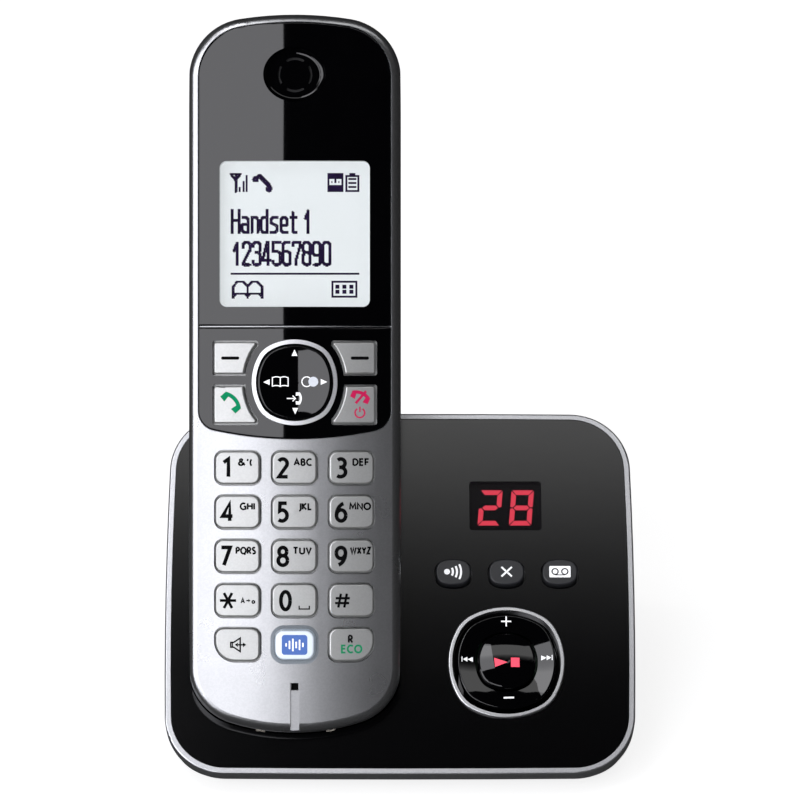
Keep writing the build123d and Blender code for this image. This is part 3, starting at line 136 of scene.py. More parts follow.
class Grain(Enum):
    """Kinds of fine relief that a surface can carry."""

    ORANGE_PEEL = "soft waves of a moulded, poured or sprayed surface"
    FLAKE = "metal flakes in lacquer"
    SPARK = "sand-like bumps of a spark-eroded mould"
    DRAWN = "fine parallel lines of drawn, rolled or woven stock"


@dataclass(frozen=True)
class Finish:
    """One real material with its surface, built as a procedural shader.

    The colour wanders to the shade in patches of mottle_mm, or from flake to flake.  The
    relief has a grain_mm spacing and is depth_mm deep.
    """

    title: str
    colour: str
    shade: str
    roughness: float
    grain: Grain = Grain.ORANGE_PEEL
    grain_mm: float = 0.3
    depth_mm: float = 0.001
    mottle_mm: float = 9.0
    gloss_spread: float = 0.04
    metallic: float = 0.0
    ior: float = 1.5
    coat: float = 0.0
    coat_roughness: float = 0.05
    alpha: float = 1.0
    transmission: float = 0.0
    glow: str | None = None
    glow_strength: float = 0.0

    @property
    def is_metal(self) -> bool:
        """Whether the eye takes it for metal, which keeps the shader's own IOR."""
        return self.metallic > 0.5

    def material(self) -> bpy.types.Material:
        """Build the material once and return it on later calls.

        Returns:
            The finished material.
        """
        found = bpy.data.materials.get(self.title)
        if found:
            return found
        made = bpy.data.materials.new(self.title)
        made.use_nodes = True
        tree = made.node_tree
        tree.nodes.clear()
        output = add_node(tree, "ShaderNodeOutputMaterial")
        shader = self.shader(tree)
        tree.links.new(shader.outputs["BSDF"], output.inputs["Surface"])
        made.diffuse_color = linear(self.colour)
        return made

    def shader(self, tree: Tree) -> bpy.types.Node:
        """Build the surface shader with its colour, gloss and relief.

        Args:
            tree: Node tree of the material.

        Returns:
            The principled shader node.
        """
        place = add_node(tree, "ShaderNodeTexCoord").outputs["Object"]
        links = {
            "Base Color": self.colouring(tree, place),
            "Roughness": self.gloss(tree, place),
            "Normal": self.relief(tree, place),
        }
        values = {
            "Metallic": self.metallic,
            "Coat Weight": self.coat,
            "Coat Roughness": self.coat_roughness,
            "Alpha": self.alpha,
            "Transmission Weight": self.transmission,
        }
        if not self.is_metal:
            values["IOR"] = self.ior
        if self.glow:
            values["Emission Color"] = linear(self.glow)
            values["Emission Strength"] = self.glow_strength
        return add_node(tree, "ShaderNodeBsdfPrincipled", inputs=values, links=links)

    def colouring(self, tree: Tree, place: Socket) -> Socket:
        """Mix the main colour with a second shade in broad soft patches, or by flakes.

        Args:
            tree: Node tree of the material.
            place: Coordinates in metres.

        Returns:
            Colour output.
        """
        if self.grain is Grain.FLAKE:
            cells = add_node(tree, "ShaderNodeTexVoronoi",
                             inputs={"Scale": 1 / (self.grain_mm * MM)}, links={"Vector": place})
            split = add_node(tree, "ShaderNodeSeparateColor", links={0: cells.outputs["Color"]})
            pattern = split.outputs[0]
        else:
            noise = add_node(tree, "ShaderNodeTexNoise",
                             inputs={"Scale": 1 / (self.mottle_mm * MM), "Detail": 3.0},
                             links={"Vector": place})
            pattern = noise.outputs["Fac"]
        ramp = add_node(tree, "ShaderNodeValToRGB", links={"Fac": pattern})
        stops = zip(ramp.color_ramp.elements, (self.shade, self.colour), RAMP_STOPS)
        for stop, hex_colour, position in stops:
            stop.color = linear(hex_colour)
            stop.position = position
        return ramp.outputs["Color"]

    def gloss(self, tree: Tree, place: Socket) -> Socket:
        """Let the gloss wander a little, as handling and moulding leave it.

        Args:
            tree: Node tree of the material.
            place: Coordinates in metres.

        Returns:
            Roughness output.
        """
        noise = add_node(tree, "ShaderNodeTexNoise",
                         inputs={"Scale": 1 / (self.mottle_mm * MM), "Detail": 2.0},
                         links={"Vector": place})
        spread = self.gloss_spread / 2
        reach = add_node(tree, "ShaderNodeMapRange",
                         inputs={"To Min": max(0.0, self.roughness - spread),
                                 "To Max": min(1.0, self.roughness + spread)},
                         links={"Value": noise.outputs["Fac"]})
        return reach.outputs["Result"]

    def relief(self, tree: Tree, place: Socket) -> Socket:
        """Raise the fine relief of the surface.

        Args:
            tree: Node tree of the material.
            place: Coordinates in metres.

        Returns:
            Normal output.
        """
        scale = 1 / (self.grain_mm * MM)
        if self.grain in (Grain.SPARK, Grain.FLAKE):
            cells = add_node(tree, "ShaderNodeTexVoronoi", settings={"feature": "SMOOTH_F1"},
                             inputs={"Scale": scale}, links={"Vector": place})
            height = cells.outputs["Distance"]
        elif self.grain is Grain.DRAWN:
            wave = add_node(tree, "ShaderNodeTexWave",
                            inputs={"Scale": scale / WAVES_PER_UNIT, "Distortion": 2.0},
                            links={"Vector": place})
            height = wave.outputs["Fac"]
        else:
            noise = add_node(tree, "ShaderNodeTexNoise", inputs={"Scale": scale, "Detail": 1.0},
                             links={"Vector": place})
            height = noise.outputs["Fac"]
        bump = add_node(tree, "ShaderNodeBump",
                        inputs={"Strength": 1.0, "Distance": self.depth_mm * MM},
                        links={"Height": height})
        return bump.outputs["Normal"]


# ---- finishes -----------------------------------------------------------------------
def lacquer(title: str, colour: str, shade: str, roughness: float, metallic: float,
            depth_mm: float = 0.0003) -> Finish:
    """ABS sprayed with aluminium lacquer: bright on the lit side and quick to fall to grey.

    The flakes are 0.05 mm in life and are drawn six times as coarse so that they show.

    Args:
        title: Name of the material.
        colour: Brighter colour of the flakes.
        shade: Darker colour of the flakes.
        roughness: Roughness of the coat.
        metallic: How much the flakes outweigh their binder.
        depth_mm: Height of the flakes' relief.

    Returns:
        The lacquer.
    """
    return Finish(title, colour, shade, roughness, Grain.FLAKE, 0.3, depth_mm, metallic=metallic)


def ink(title: str, colour: str, shade: str, roughness: float, ior: float = 1.5,
        glow: str | None = None, glow_strength: float = 0.0) -> Finish:
    """Screen-printed ink: flat, slightly raised and a touch uneven.

    Args:
        title: Name of the material.
        colour: Main colour.
        shade: Colour of its uneven patches.
        roughness: Roughness, high for a matt ink.
        ior: Low for a matt ink that gives back no light of its own.
        glow: Colour of light that the ink gives off. For the red and blue prints it comes from
            behind the key. For the white and pale grey inks it is painted light, so that they read
            against a mirror-like key.
        glow_strength: Strength of that light.

    Returns:
        The ink.
    """
    return Finish(title, colour, shade, roughness, mottle_mm=1.5, ior=ior, glow=glow,
                  glow_strength=glow_strength)


# The front of the handset: a smooth coat with a wide, soft-edged shine.
LACQUER = lacquer("silver lacquer on abs", "#B4B5B7", "#AFB0B2", 0.28, 0.96)
# The band round the base has a paler coat of it.
PALE_LACQUER = lacquer("pale silver lacquer on the band", "#D2D3D6", "#CBCCD0", 0.34, 0.96)
# The keys wear a softer, more matt coat of the same lacquer.
KEY_LACQUER = lacquer("matt silver lacquer on keys", "#C0C1C0", "#BCBDBC", 0.36, 0.82, 0.0002)
# Polished metal-look rings: brighter and sharper than the case beside them.
RING_LACQUER = lacquer("bright silver lacquer on rings", "#DCDDDF", "#D6D7DA", 0.28, 0.95)
# Cast acrylic, backed with black: a deep mirror with hardly any wave.
ACRYLIC = Finish("black cast acrylic", "#010102", "#020203", 0.025, grain_mm=12.0, depth_mm=0.0008,
                 gloss_spread=0.01, ior=1.49)
# Black ABS from a polished mould: gloss that softens a light's edge.
GLOSS_ABS = Finish("polished black abs", "#020203", "#030304", 0.1, grain_mm=3.0, depth_mm=0.0012,
                   gloss_spread=0.02, ior=1.53)
# Satin keys: dark grey, with a broad dull shine.
SATIN_ABS = Finish("satin grey abs", "#1E1F22", "#222327", 0.38, Grain.SPARK, 0.25, 0.002, ior=1.53)
# Case ABS from a spark-eroded mould: fine sand-like bumps that kill the gloss.
SPARK_ABS = Finish("spark textured black abs", "#111113", "#151518", 0.5, Grain.SPARK, 0.35, 0.012,
                   gloss_spread=0.1, ior=1.53)
# Natural black acetal of hidden pivots: waxy and even.
ACETAL = Finish("black acetal", "#141416", "#18181B", 0.4, grain_mm=0.6, depth_mm=0.003)
# Clear sheet over the handset's display, with an anti-reflection coat: it shows no mirror image.
CLEAR_SHEET = Finish("clear coated acrylic", "#FFFFFF", "#FFFFFF", 0.0, grain_mm=20.0,
                     depth_mm=0.0002, gloss_spread=0.0, ior=1.04, transmission=1.0)
# Smoked sheet over the message counter: black until the figures behind it light up.
SMOKED_SHEET = Finish("smoked acrylic", "#08040A", "#08040A", 0.03, grain_mm=20.0, depth_mm=0.0003,
                      gloss_spread=0.01, ior=1.3, alpha=0.4)
# Backlit display glass: nearly white and even, as bright as the floor.
DISPLAY_GLASS = Finish("backlit display glass", "#83888A", "#7F8486", 0.35, grain_mm=2.0,
                       depth_mm=0.0005, mottle_mm=30.0, glow="#E9EEF0", glow_strength=0.72)
# Dots of the display: dark aubergine and matt.
DISPLAY_DOT = Finish("display dot", "#1E1233", "#24163B", 0.8, grain_mm=1.0, depth_mm=0.0005,
                     mottle_mm=2.0, ior=1.2)
# Black body of the message counter: matt, so that only its bars show.
LIGHT_BOX = Finish("counter light box", "#030203", "#040304", 0.8, Grain.SPARK, 0.3, 0.004)
# Red light-emitting bars: a clear glow with soft patches.
RED_BAR = Finish("lit red bar", "#C8283A", "#D0303F", 0.4, grain_mm=0.5, depth_mm=0.002,
                 mottle_mm=1.2, glow="#FF4A60", glow_strength=1.75)
# Moulded rubber of the feet: no gloss and a slight grey bloom.
RUBBER = Finish("moulded black rubber", "#1A1A1A", "#232323", 0.8, Grain.SPARK, 0.4, 0.02)
# Silicone of the key mat, coloured near black as painted shade: it gives the dark, dull line of
# shade in the gaps between the keys.
SHADE_DARKENED_SILICONE = Finish("silicone sheet darkened as painted shade", "#0E0F10", "#121314", 0.7, grain_mm=1.0,
                  depth_mm=0.006)
# Green solder mask with the faint weave of the glass cloth under it.
SOLDER_MASK = Finish("green solder mask", "#1D6B3A", "#175A30", 0.35, Grain.DRAWN, 0.5, 0.006)
# Screws: blackened steel with fine turning lines.
BLACK_STEEL = Finish("black passivated steel", "#4A4A4C", "#3E3E40", 0.38, Grain.DRAWN, 0.3, 0.003,
                     metallic=1.0)
# Charging pins and battery contacts: bright, slightly warm nickel with drawing lines.
NICKEL = Finish("nickel plated spring steel", "#D2CBBE", "#C6BFB2", 0.22, Grain.DRAWN, 0.25, 0.002,
                metallic=1.0)
# Microphone can under its felt dot: black and without any shine.
FELTED_CAN = Finish("black felt on aluminium can", "#0A0A0B", "#0D0D0E", 0.9, Grain.SPARK, 0.3,
                    0.02)
# Loudspeaker baskets: painted steel with a soft sheen.
BASKET = Finish("black painted steel", "#161617", "#1B1B1D", 0.45, grain_mm=0.7, depth_mm=0.006)
# Sleeve of the two cells: glossy printed shrink film.
CELL_FILM = Finish("printed shrink film", "#3F7F58", "#377350", 0.25, grain_mm=2.0, depth_mm=0.004)
# Jacks: nylon with a dull, slightly sandy face, black for the line and amber for the power.
NYLON = Finish("black nylon", "#151516", "#19191B", 0.42, Grain.SPARK, 0.4, 0.005)
AMBER_NYLON = Finish("amber nylon", "#B98A1E", "#AE8019", 0.4, Grain.SPARK, 0.4, 0.005)
# Milky translucent key, lit from behind and bright at its rim.
MILKY_KEY = Finish("milky acrylic key", "#E3ECF5", "#DCE7F2", 0.12, grain_mm=3.0,
                   glow="#DCE8F4", glow_strength=0.12, coat=0.6, coat_roughness=0.03)
# Dark inks lie matt on the silver keys. Pale ones stand out of the black gloss by a glow of their
# own, which is painted light.
INK_BLACK = ink("black screen ink", "#030304", "#060608", 0.8, ior=1.2)
INK_GREEN = ink("green screen ink", "#0A8A5C", "#098256", 0.8, ior=1.2)
INK_CRIMSON = ink("crimson screen ink", "#C01A52", "#B6184D", 0.8, ior=1.2)
# Painted light: the white and the pale grey ink glow, though no lamp lies behind them.
INK_WHITE_PAINTED_GLOW = ink("white screen ink with painted glow", "#F0F1F3", "#E9EAEC", 0.5, glow="#F4F5F7", glow_strength=0.35)
INK_PEARL_PAINTED_GLOW = ink("pale grey screen ink with painted glow", "#C4C9D2", "#BDC2CB", 0.5, glow="#C4C9D2",
                glow_strength=0.25)
INK_BLUE = ink("blue screen ink", "#4469B4", "#4065AF", 0.4, glow="#4870B8", glow_strength=0.15)
# Red signs of the play key: print that is lit from behind.
INK_RED = ink("lit red print", "#E8415A", "#E03B53", 0.4, glow="#EE4A60", glow_strength=0.7)
# Blank label: satin film with a faint metal shine.
LABEL_FILM = Finish("satin silver label film", "#9A9CA0", "#93959A", 0.4, grain_mm=1.5,
                    depth_mm=0.002, metallic=0.3)

# Which nodes of the frame wear which finish.
NODE_FINISHES: dict[Finish, Sequence[str]] = {
    LACQUER: ("handset_front_shell",),
    PALE_LACQUER: ("base_trim_band",),
    RING_LACQUER: ("navigation_ring", "base_rocker_ring"),
    KEY_LACQUER: ("key_speaker", "key_recall", "key_star", "key_0", "key_hash", "key_7", "key_8",
                  "key_9", "key_4", "key_5", "key_6", "key_1", "key_2", "key_3", "soft_key_left",
                  "soft_key_right", "talk_key", "off_key"),
    MILKY_KEY: ("key_noise",),
    ACRYLIC: ("display_panel", "navigation_panel", "navigation_key", "base_rocker_key",
              "base_play_key"),
    GLOSS_ABS: ("base_top_cover",),
    SATIN_ABS: ("base_locator_key", "base_erase_key", "base_answer_key"),
    SPARK_ABS: ("base_bottom_housing", "handset_rear_shell", "battery_cover"),
    ACETAL: ("base_rocker_pivot", "navigation_pivot", "base_rocker_bracket", "navigation_bracket"),
    CLEAR_SHEET: ("display_window",),
    SMOKED_SHEET: ("base_display_window",),
    DISPLAY_GLASS: ("lcd_module",),
    LIGHT_BOX: ("base_led_module",),
    RUBBER: ("base_feet",),
    SHADE_DARKENED_SILICONE: ("keypad_mat",),
    SOLDER_MASK: ("base_main_board", "handset_main_board"),
    BLACK_STEEL: ("base_screws", "handset_screws"),
    NICKEL: ("charge_contact_left", "charge_contact_right", "handset_charge_contacts",
             "battery_contacts"),
    BASKET: ("base_speaker", "earpiece_speaker", "ringer_speaker"),
    FELTED_CAN: ("microphone",),
    CELL_FILM: ("battery_cells",),
    NYLON: ("base_line_jack",),
    AMBER_NYLON: ("base_power_jack",),
}


# ---- flat drawing -------------------------------------------------------------------
# Least cosine of half a bend's turn that still gets its full mitre.
MITRE_LIMIT = 0.5


def disc(centre: Point, radius: float, steps: int = 28) -> Loop:
    """Draw a circle as a closed loop.

    Args:
        centre: Middle of the circle.
        radius: Its radius.
        steps: Number of points.

    Returns:
        The points, the last one short of the first.
    """
    turn = 2 * math.pi
    return [(centre[0] + radius * math.cos(turn * i / steps),
             centre[1] + radius * math.sin(turn * i / steps)) for i in range(steps)]


def hoop(centre: Point, radius: float, line: float) -> Mark:
    """Draw a ring of a given line width.

    Args:
        centre: Middle of the ring.
        radius: Radius of the line's middle.
        line: Width of the line.

    Returns:
        An outer and an inner loop.
    """
    return [disc(centre, radius + line / 2), disc(centre, radius - line / 2)]


def bar(centre: Point, width: float, height: float, corner: float = 0.0, steps: int = 6) -> Loop:
    """Draw a rectangle, with rounded corners when corner is above zero.

    Args:
        centre: Middle of the rectangle.
        width: Size across.
        height: Size along.
        corner: Radius of the corners.
        steps: Straight pieces in each rounded corner.

    Returns:
        The closed outline.
    """
    x, y = width / 2, height / 2
    quarters = ((1, -1), (1, 1), (-1, 1), (-1, -1))
    if corner <= 0:
        return [(centre[0] + a, centre[1] + b) for a, b in [(-x, -y), (x, -y), (x, y), (-x, y)]]
    loop = []
    for quarter, (sx, sy) in enumerate(quarters):
        for step in range(steps + 1):
            angle = math.radians(quarter * 90 - 90 + step * 90 / steps)
            loop.append((centre[0] + sx * (x - corner) + corner * math.cos(angle),
                         centre[1] + sy * (y - corner) + corner * math.sin(angle)))
    return loop


def bow(centre: Point, radii: Point, start: float, end: float, steps: int = 14) -> Loop:
    """Draw part of an ellipse as an open line.

    Args:
        centre: Middle of the ellipse.
        radii: Half of its width and of its height.
        start: First angle in degrees.
        end: Last angle in degrees.
        steps: Number of straight pieces.

    Returns:
        The points, both ends included.
    """
    angles = [math.radians(start + (end - start) * i / steps) for i in range(steps + 1)]
    return [(centre[0] + radii[0] * math.cos(angle), centre[1] + radii[1] * math.sin(angle))
            for angle in angles]


def arc(centre: Point, radius: float, start: float, end: float, steps: int = 12) -> Loop:
    """Draw part of a circle as an open line.

    Args:
        centre: Middle of the circle.
        radius: Its radius.
        start: First angle in degrees.
        end: Last angle in degrees.
        steps: Number of straight pieces.

    Returns:
        The points, both ends included.
    """
    return bow(centre, (radius, radius), start, end, steps)


def ring_line(centre: Point, radii: Point) -> Loop:
    """Draw a whole ellipse as a line.

    Args:
        centre: Middle of the ellipse.
        radii: Half of its width and of its height.

    Returns:
        The points, the last one back on the first.
    """
    return bow(centre, radii, 0, 360, 28)


def stroke(points: Loop, line: float) -> Loop:
    """Draw a ribbon of constant width along an open line, with mitred bends.

    Args:
        points: Points of the line.
        line: Width of the ribbon.

    Returns:
        The ribbon's outline.
    """
    left, right = [], []
    for i, point in enumerate(points):
        here = Vector(point)
        before = Vector(points[max(i - 1, 0)])
        after = Vector(points[min(i + 1, len(points) - 1)])
        into = (here - before) if i else (after - here)
        out = (after - here) if i < len(points) - 1 else into
        side_in = Vector((-into.y, into.x)).normalized()
        side_out = Vector((-out.y, out.x)).normalized()
        side = (side_in + side_out).normalized()
        reach = line / 2 / max(MITRE_LIMIT, side.dot(side_in))
        left.append((point[0] + side.x * reach, point[1] + side.y * reach))
        right.append((point[0] - side.x * reach, point[1] - side.y * reach))
    return left + right[::-1]


def ribbon(points: Loop, line: float) -> list[Mark]:
    """Draw a ribbon of constant width along a line, as one small mark for each stretch.

    Args:
        points: Points of the line.
        line: Width of the ribbon.

    Returns:
        Four-cornered marks that join edge to edge.
    """
    outline = stroke(points, line)
    last = len(outline) - 1
    return [[[outline[i], outline[i + 1], outline[last - i - 1], outline[last - i]]]
            for i in range(len(points) - 1)]


def sans_glyphs() -> dict[str, list[Loop]]:
    """Centre lines of a plain sans face, on a cap height of one.

    Returns:
        For each character, its strokes.
    """
    stem = [(0, 0), (0, 1)]
    head_of_p = [(0, 1), *bow((0.2, 0.735), (0.26, 0.265), 90, -90), (0, 0.47)]
    six = [ring_line((0.26, 0.31), (0.26, 0.31)), bow((0.52, 0.31), (0.52, 0.69), 104, 180)]
    return {
        "0": [ring_line((0.26, 0.5), (0.26, 0.5))],
        "1": [[(0, 0.8), (0.27, 1), (0.27, 0)]],
        "2": [[*bow((0.22, 0.74), (0.25, 0.26), 150, -28), (0, 0), (0.5, 0)]],
        "3": [[*bow((0.19, 0.765), (0.24, 0.235), 135, -90), (0.1, 0.53)],
              [(0.1, 0.53), *bow((0.17, 0.265), (0.29, 0.265), 90, -130)]],
        "4": [[(0.4, 0), (0.4, 1), (0, 0.27), (0.56, 0.27)]],
        "5": [[(0.44, 1), (0.06, 1), (0.04, 0.56), *bow((0.17, 0.31), (0.29, 0.31), 100, -130)]],
        "6": six,
        "7": [[(0, 1), (0.5, 1), (0.14, 0)]],
        "8": [ring_line((0.26, 0.765), (0.215, 0.235)), ring_line((0.26, 0.27), (0.26, 0.27))],
        "9": [[(0.52 - x, 1 - y) for x, y in line] for line in six],
        "A": [[(0, 0), (0.33, 1), (0.66, 0)], [(0.13, 0.34), (0.53, 0.34)]],
        "B": [stem, [(0, 1), *bow((0.2, 0.77), (0.2, 0.23), 90, -90), (0, 0.54)],
              [(0.2, 0.54), *bow((0.22, 0.27), (0.24, 0.27), 90, -90), (0, 0)]],
        "C": [bow((0.38, 0.5), (0.38, 0.5), 52, 308, 20)],
        "D": [stem, [(0, 1), *bow((0.18, 0.5), (0.42, 0.5), 90, -90), (0, 0)]],
        "E": [[(0.44, 1), (0, 1), (0, 0), (0.44, 0)], [(0, 0.54), (0.4, 0.54)]],
        "F": [[(0.44, 1), (0, 1), (0, 0)], [(0, 0.5), (0.4, 0.5)]],
        "G": [[*bow((0.38, 0.5), (0.38, 0.5), 52, 296, 20), (0.66, 0.08), (0.66, 0.48),
               (0.42, 0.48)]],
        "H": [stem, [(0.58, 0), (0.58, 1)], [(0, 0.54), (0.58, 0.54)]],
        "I": [stem],
        "J": [[(0.22, 1), (0.22, 0.08), *bow((0.02, 0.0), (0.2, 0.2), 0, -100, 6)]],
        "K": [stem, [(0.5, 1), (0.05, 0.53), (0.53, 0)]],
        "L": [[(0, 1), (0, 0), (0.42, 0)]],
        "M": [[(0, 0), (0.06, 1), (0.38, 0.25), (0.7, 1), (0.76, 0)]],
        "N": [[(0, 0), (0, 1), (0.6, 0), (0.6, 1)]],
        "O": [ring_line((0.4, 0.5), (0.4, 0.5))],
        "P": [stem, head_of_p],
        "Q": [ring_line((0.4, 0.5), (0.4, 0.5)), [(0.45, 0.08), (0.75, -0.15)]],
        "R": [stem, head_of_p, [(0.2, 0.47), (0.52, 0)]],
        "S": [[(0.42, 0.93), (0.28, 1), (0.12, 0.97), (0.02, 0.8), (0.08, 0.62), (0.36, 0.42),
               (0.45, 0.25), (0.38, 0.07), (0.18, 0), (0, 0.06)]],
        "T": [[(0, 1), (0.56, 1)], [(0.28, 1), (0.28, 0)]],
        "U": [[(0, 1), *bow((0.28, 0.3), (0.28, 0.3), 180, 360), (0.56, 1)]],
        "V": [[(0, 1), (0.3, 0), (0.6, 1)]],
        "W": [[(0, 1), (0.22, 0), (0.44, 0.9), (0.66, 0), (0.88, 1)]],
        "X": [[(0, 0), (0.55, 1)], [(0, 1), (0.55, 0)]],
        "Y": [[(0, 1), (0.28, 0.48), (0.56, 1)], [(0.28, 0.48), (0.28, 0)]],
        "Z": [[(0, 1), (0.5, 1), (0, 0), (0.5, 0)]],
        "a": [ring_line((0.22, 0.24), (0.22, 0.24)), [(0.46, 0.5), (0.46, 0)]],
        "&": [[(0.72, 0), (0.15, 0.7), (0.14, 0.9), (0.28, 1), (0.42, 0.9), (0.4, 0.72),
               (0.06, 0.4), (0.02, 0.18), (0.14, 0.02), (0.34, 0), (0.52, 0.14), (0.64, 0.44)]],
        "'": [[(0.06, 1), (0, 0.68)]],
        "(": [bow((0.42, 0.42), (0.34, 0.66), 128, 232, 10)],
        "#": [[(0.2, 0), (0.36, 1)], [(0.56, 0), (0.72, 1)], [(0.04, 0.67), (0.9, 0.67)],
              [(0, 0.32), (0.86, 0.32)]],
    }


SANS = sans_glyphs()


def turned(marks: Sequence[Mark], degrees: float, scale: float = 1.0,
           shift: Point = (0.0, 0.0)) -> list[Mark]:
    """Turn, scale and move marks.

    Args:
        marks: Marks about the origin.
        degrees: Turn, anticlockwise.
        scale: Factor on the size.
        shift: Move after the turn.

    Returns:
        The placed marks.
    """
    angle = math.radians(degrees)
    c, s = math.cos(angle) * scale, math.sin(angle) * scale
    return [[[(c * x - s * y + shift[0], s * x + c * y + shift[1]) for x, y in loop]
             for loop in mark] for mark in marks]


def receiver() -> Mark:
    """Draw a telephone receiver, one unit long, with both ends pointing down.

    Returns:
        Its filled outline about the origin.
    """
    hub = (0, -0.62)
    top = arc(hub, 0.86, 125, 55)
    under = arc(hub, 0.69, 68, 112)
    return [[(-0.5, -0.24), *top, (0.5, -0.24), (0.22, -0.26), *under, (-0.22, -0.26)]]


def arrow_head(tip: Point, length: float, half: float, degrees: float) -> Mark:
    """Draw a filled triangle that points along an angle.

    Args:
        tip: Place of its point.
        length: Distance from the point to the back.
        half: Half of the back's width.
        degrees: Angle that it points along.

    Returns:
        The triangle.
    """
    return turned([[[(0, 0), (-length, half), (-length, -half)]]], degrees, 1.0, tip)[0]


# ---- print and light on surfaces ----------------------------------------------------
@dataclass(frozen=True)
class Datum:
    """A local frame in the world: x across, y along, z out; local values in millimetres."""

    origin: Vector
    across: Vector
    along: Vector
    out: Vector

    def at(self, x: float, y: float, z: float = 0.0) -> Vector:
        """Turn a local point into a world point.

        Args:
            x: Millimetres across.
            y: Millimetres along.
            z: Millimetres out.

        Returns:
            The point in metres.
        """
        return self.origin + (self.across * x + self.along * y + self.out * z) * MM


@dataclass(frozen=True)
class Printer:
    """Lays flat marks and letters on a curved surface as thin closed solids.

    A print stands lift above the surface and reaches sink below it, both in millimetres, so
    that it never parts from a surface that is made of flat facets.
    """

    datum: Datum
    body: str
    slot: str
    height: Height
    lift: float = 0.03
    sink: float = 0.05

    def marks(self, name: str, marks: Sequence[Mark], finish: Finish) -> bpy.types.Object:
        """Print marks, each a filled outline with optional holes.

        Args:
            name: Name of the new piece.
            marks: Outlines in local millimetres.
            finish: Ink.

        Returns:
            The printed piece.
        """
        points: list[Vector] = []
        faces: list[tuple[int, ...]] = []
        for mark in marks:
            first = len(points)
            flat = [point for loop in mark for point in loop]
            for level in (self.lift, -self.sink):
                points += [self.datum.at(x, y, self.height(x, y) + level) for x, y in flat]
            faces += self.caps(mark, flat, first)
            faces += self.sides(mark, first, len(flat))
        return self.piece(name, points, faces, finish)

    def caps(self, mark: Mark, flat: Loop, first: int) -> list[tuple[int, ...]]:
        """Fill the top and the underside of a mark.

        Args:
            mark: Outline with its holes.
            flat: All points of the mark in one row.
            first: Number of the mark's first vertex.

        Returns:
            Triangles that face outwards.
        """
        faces = []
        for triangle in tessellate_polygon([[Vector((x, y, 0)) for x, y in loop] for loop in mark]):
            a, b, c = (Vector(flat[i]) for i in triangle)
            order = triangle if (b - a).cross(c - a) > 0 else triangle[::-1]
            faces.append(tuple(first + i for i in order))
            faces.append(tuple(first + len(flat) + i for i in reversed(order)))
        return faces

    def sides(self, mark: Mark, first: int, total: int) -> list[tuple[int, ...]]:
        """Close the edge of a mark and of its holes.

        Args:
            mark: Outline with its holes.
            first: Number of the mark's first vertex.
            total: Number of its points on one level.

        Returns:
            Four-cornered faces that face outwards.
        """
        faces = []
        start = first
        for number, loop in enumerate(mark):
            size = len(loop)
            area = sum(loop[i][0] * loop[(i + 1) % size][1] - loop[(i + 1) % size][0] * loop[i][1]
                       for i in range(size))
            forward = (area > 0) == (number == 0)
            for i in range(size):
                a, b = start + i, start + (i + 1) % size
                faces.append((a, a + total, b + total, b) if forward
                             else (a, b, b + total, a + total))
            start += size
        return faces

    def text(self, name: str, words: str, centre: Point, size: float, line: float, finish: Finish,
             width: float | None = None, gap: float = 0.28) -> bpy.types.Object:
        """Print words in the plain sans face.

        Args:
            name: Name of the new piece.
            words: Text to print.
            centre: Middle of the text in local millimetres.
            size: Height of a capital in millimetres, over its strokes.
            line: Width of a stroke in millimetres.
            finish: Ink.
            width: Width in millimetres that the text is drawn out to, if given.
            gap: Space between letters as a share of the height.

        Returns:
            The printed piece.
        """
        lines: list[Loop] = []
        pen = 0.0
        for letter in words:
            strokes = SANS[letter]
            left = min(x for points in strokes for x, _ in points)
            right = max(x for points in strokes for x, _ in points)
            lines += [[(x - left + pen, y) for x, y in points] for points in strokes]
            pen += right - left + gap
        tall = size - line
        wide = (width - line) / (pen - gap) if width else tall
        low = centre[1] - tall / 2
        left = centre[0] - wide * (pen - gap) / 2
        marks = [mark for points in lines
                 for mark in ribbon([(left + x * wide, low + y * tall) for x, y in points], line)]
        return self.marks(name, marks, finish)

    def piece(self, name: str, points: Sequence[Vector], faces: Sequence[tuple[int, ...]],
              finish: Finish) -> bpy.types.Object:
        """Make the mesh, dress it and let it ride on this printer's body.

        Args:
            name: Name of the new piece.
            points: Vertices in the world, in metres.
            faces: Faces as vertex numbers.
            finish: Ink.

        Returns:
            The new object.
        """
        mesh = bpy.data.meshes.new(name)
        mesh.from_pydata(points, [], faces)
        mesh.validate()
        mesh.materials.append(finish.material())
        made = put_in_scene(name, mesh)
        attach(made, self.body)
        LOG.info("printed %s on %s", name, self.body)
        return made


# ---- the handset --------------------------------------------------------------------
# Middle of the four-way key on the handset's front, and the height of its pivot there.
SCROLL_CENTRE = (0.0, 79.6)
SCROLL_PIVOT_Z = -2.0


@dataclass(frozen=True)
class Crown:
    """The handset's front: a wide cylinder about its length."""

    radius: float = 200.0

    def proud(self, rise: float) -> Height:
        """Raise the crown.

        Args:
            rise: Distance in millimetres.

        Returns:
            Height function of the raised surface.
        """
        radius = self.radius + rise
        return lambda x, y: math.sqrt(radius * radius - x * x) - self.radius


@dataclass(frozen=True)
class Bowl:
    """A round key top hollowed or domed by a ball; a negative radius makes a dome."""

    centre: Point
    level: float
    radius: float

    def height(self, x: float, y: float) -> float:
        """Work out the height of the surface.

        Args:
            x: Millimetres across.
            y: Millimetres along.

        Returns:
            The height in millimetres.
        """
        reach = (x - self.centre[0]) ** 2 + (y - self.centre[1]) ** 2
        drop = math.sqrt(self.radius**2 - reach)
        return self.level + self.radius - math.copysign(drop, self.radius)


@dataclass(frozen=True)
class KeyLegend:
    """What is printed on one number key: figure_x and letters_x count from its middle."""

    node: str
    column: int
    row: int
    figure: str
    letters: str
    figure_x: float
    letters_x: float
    letters_width: float


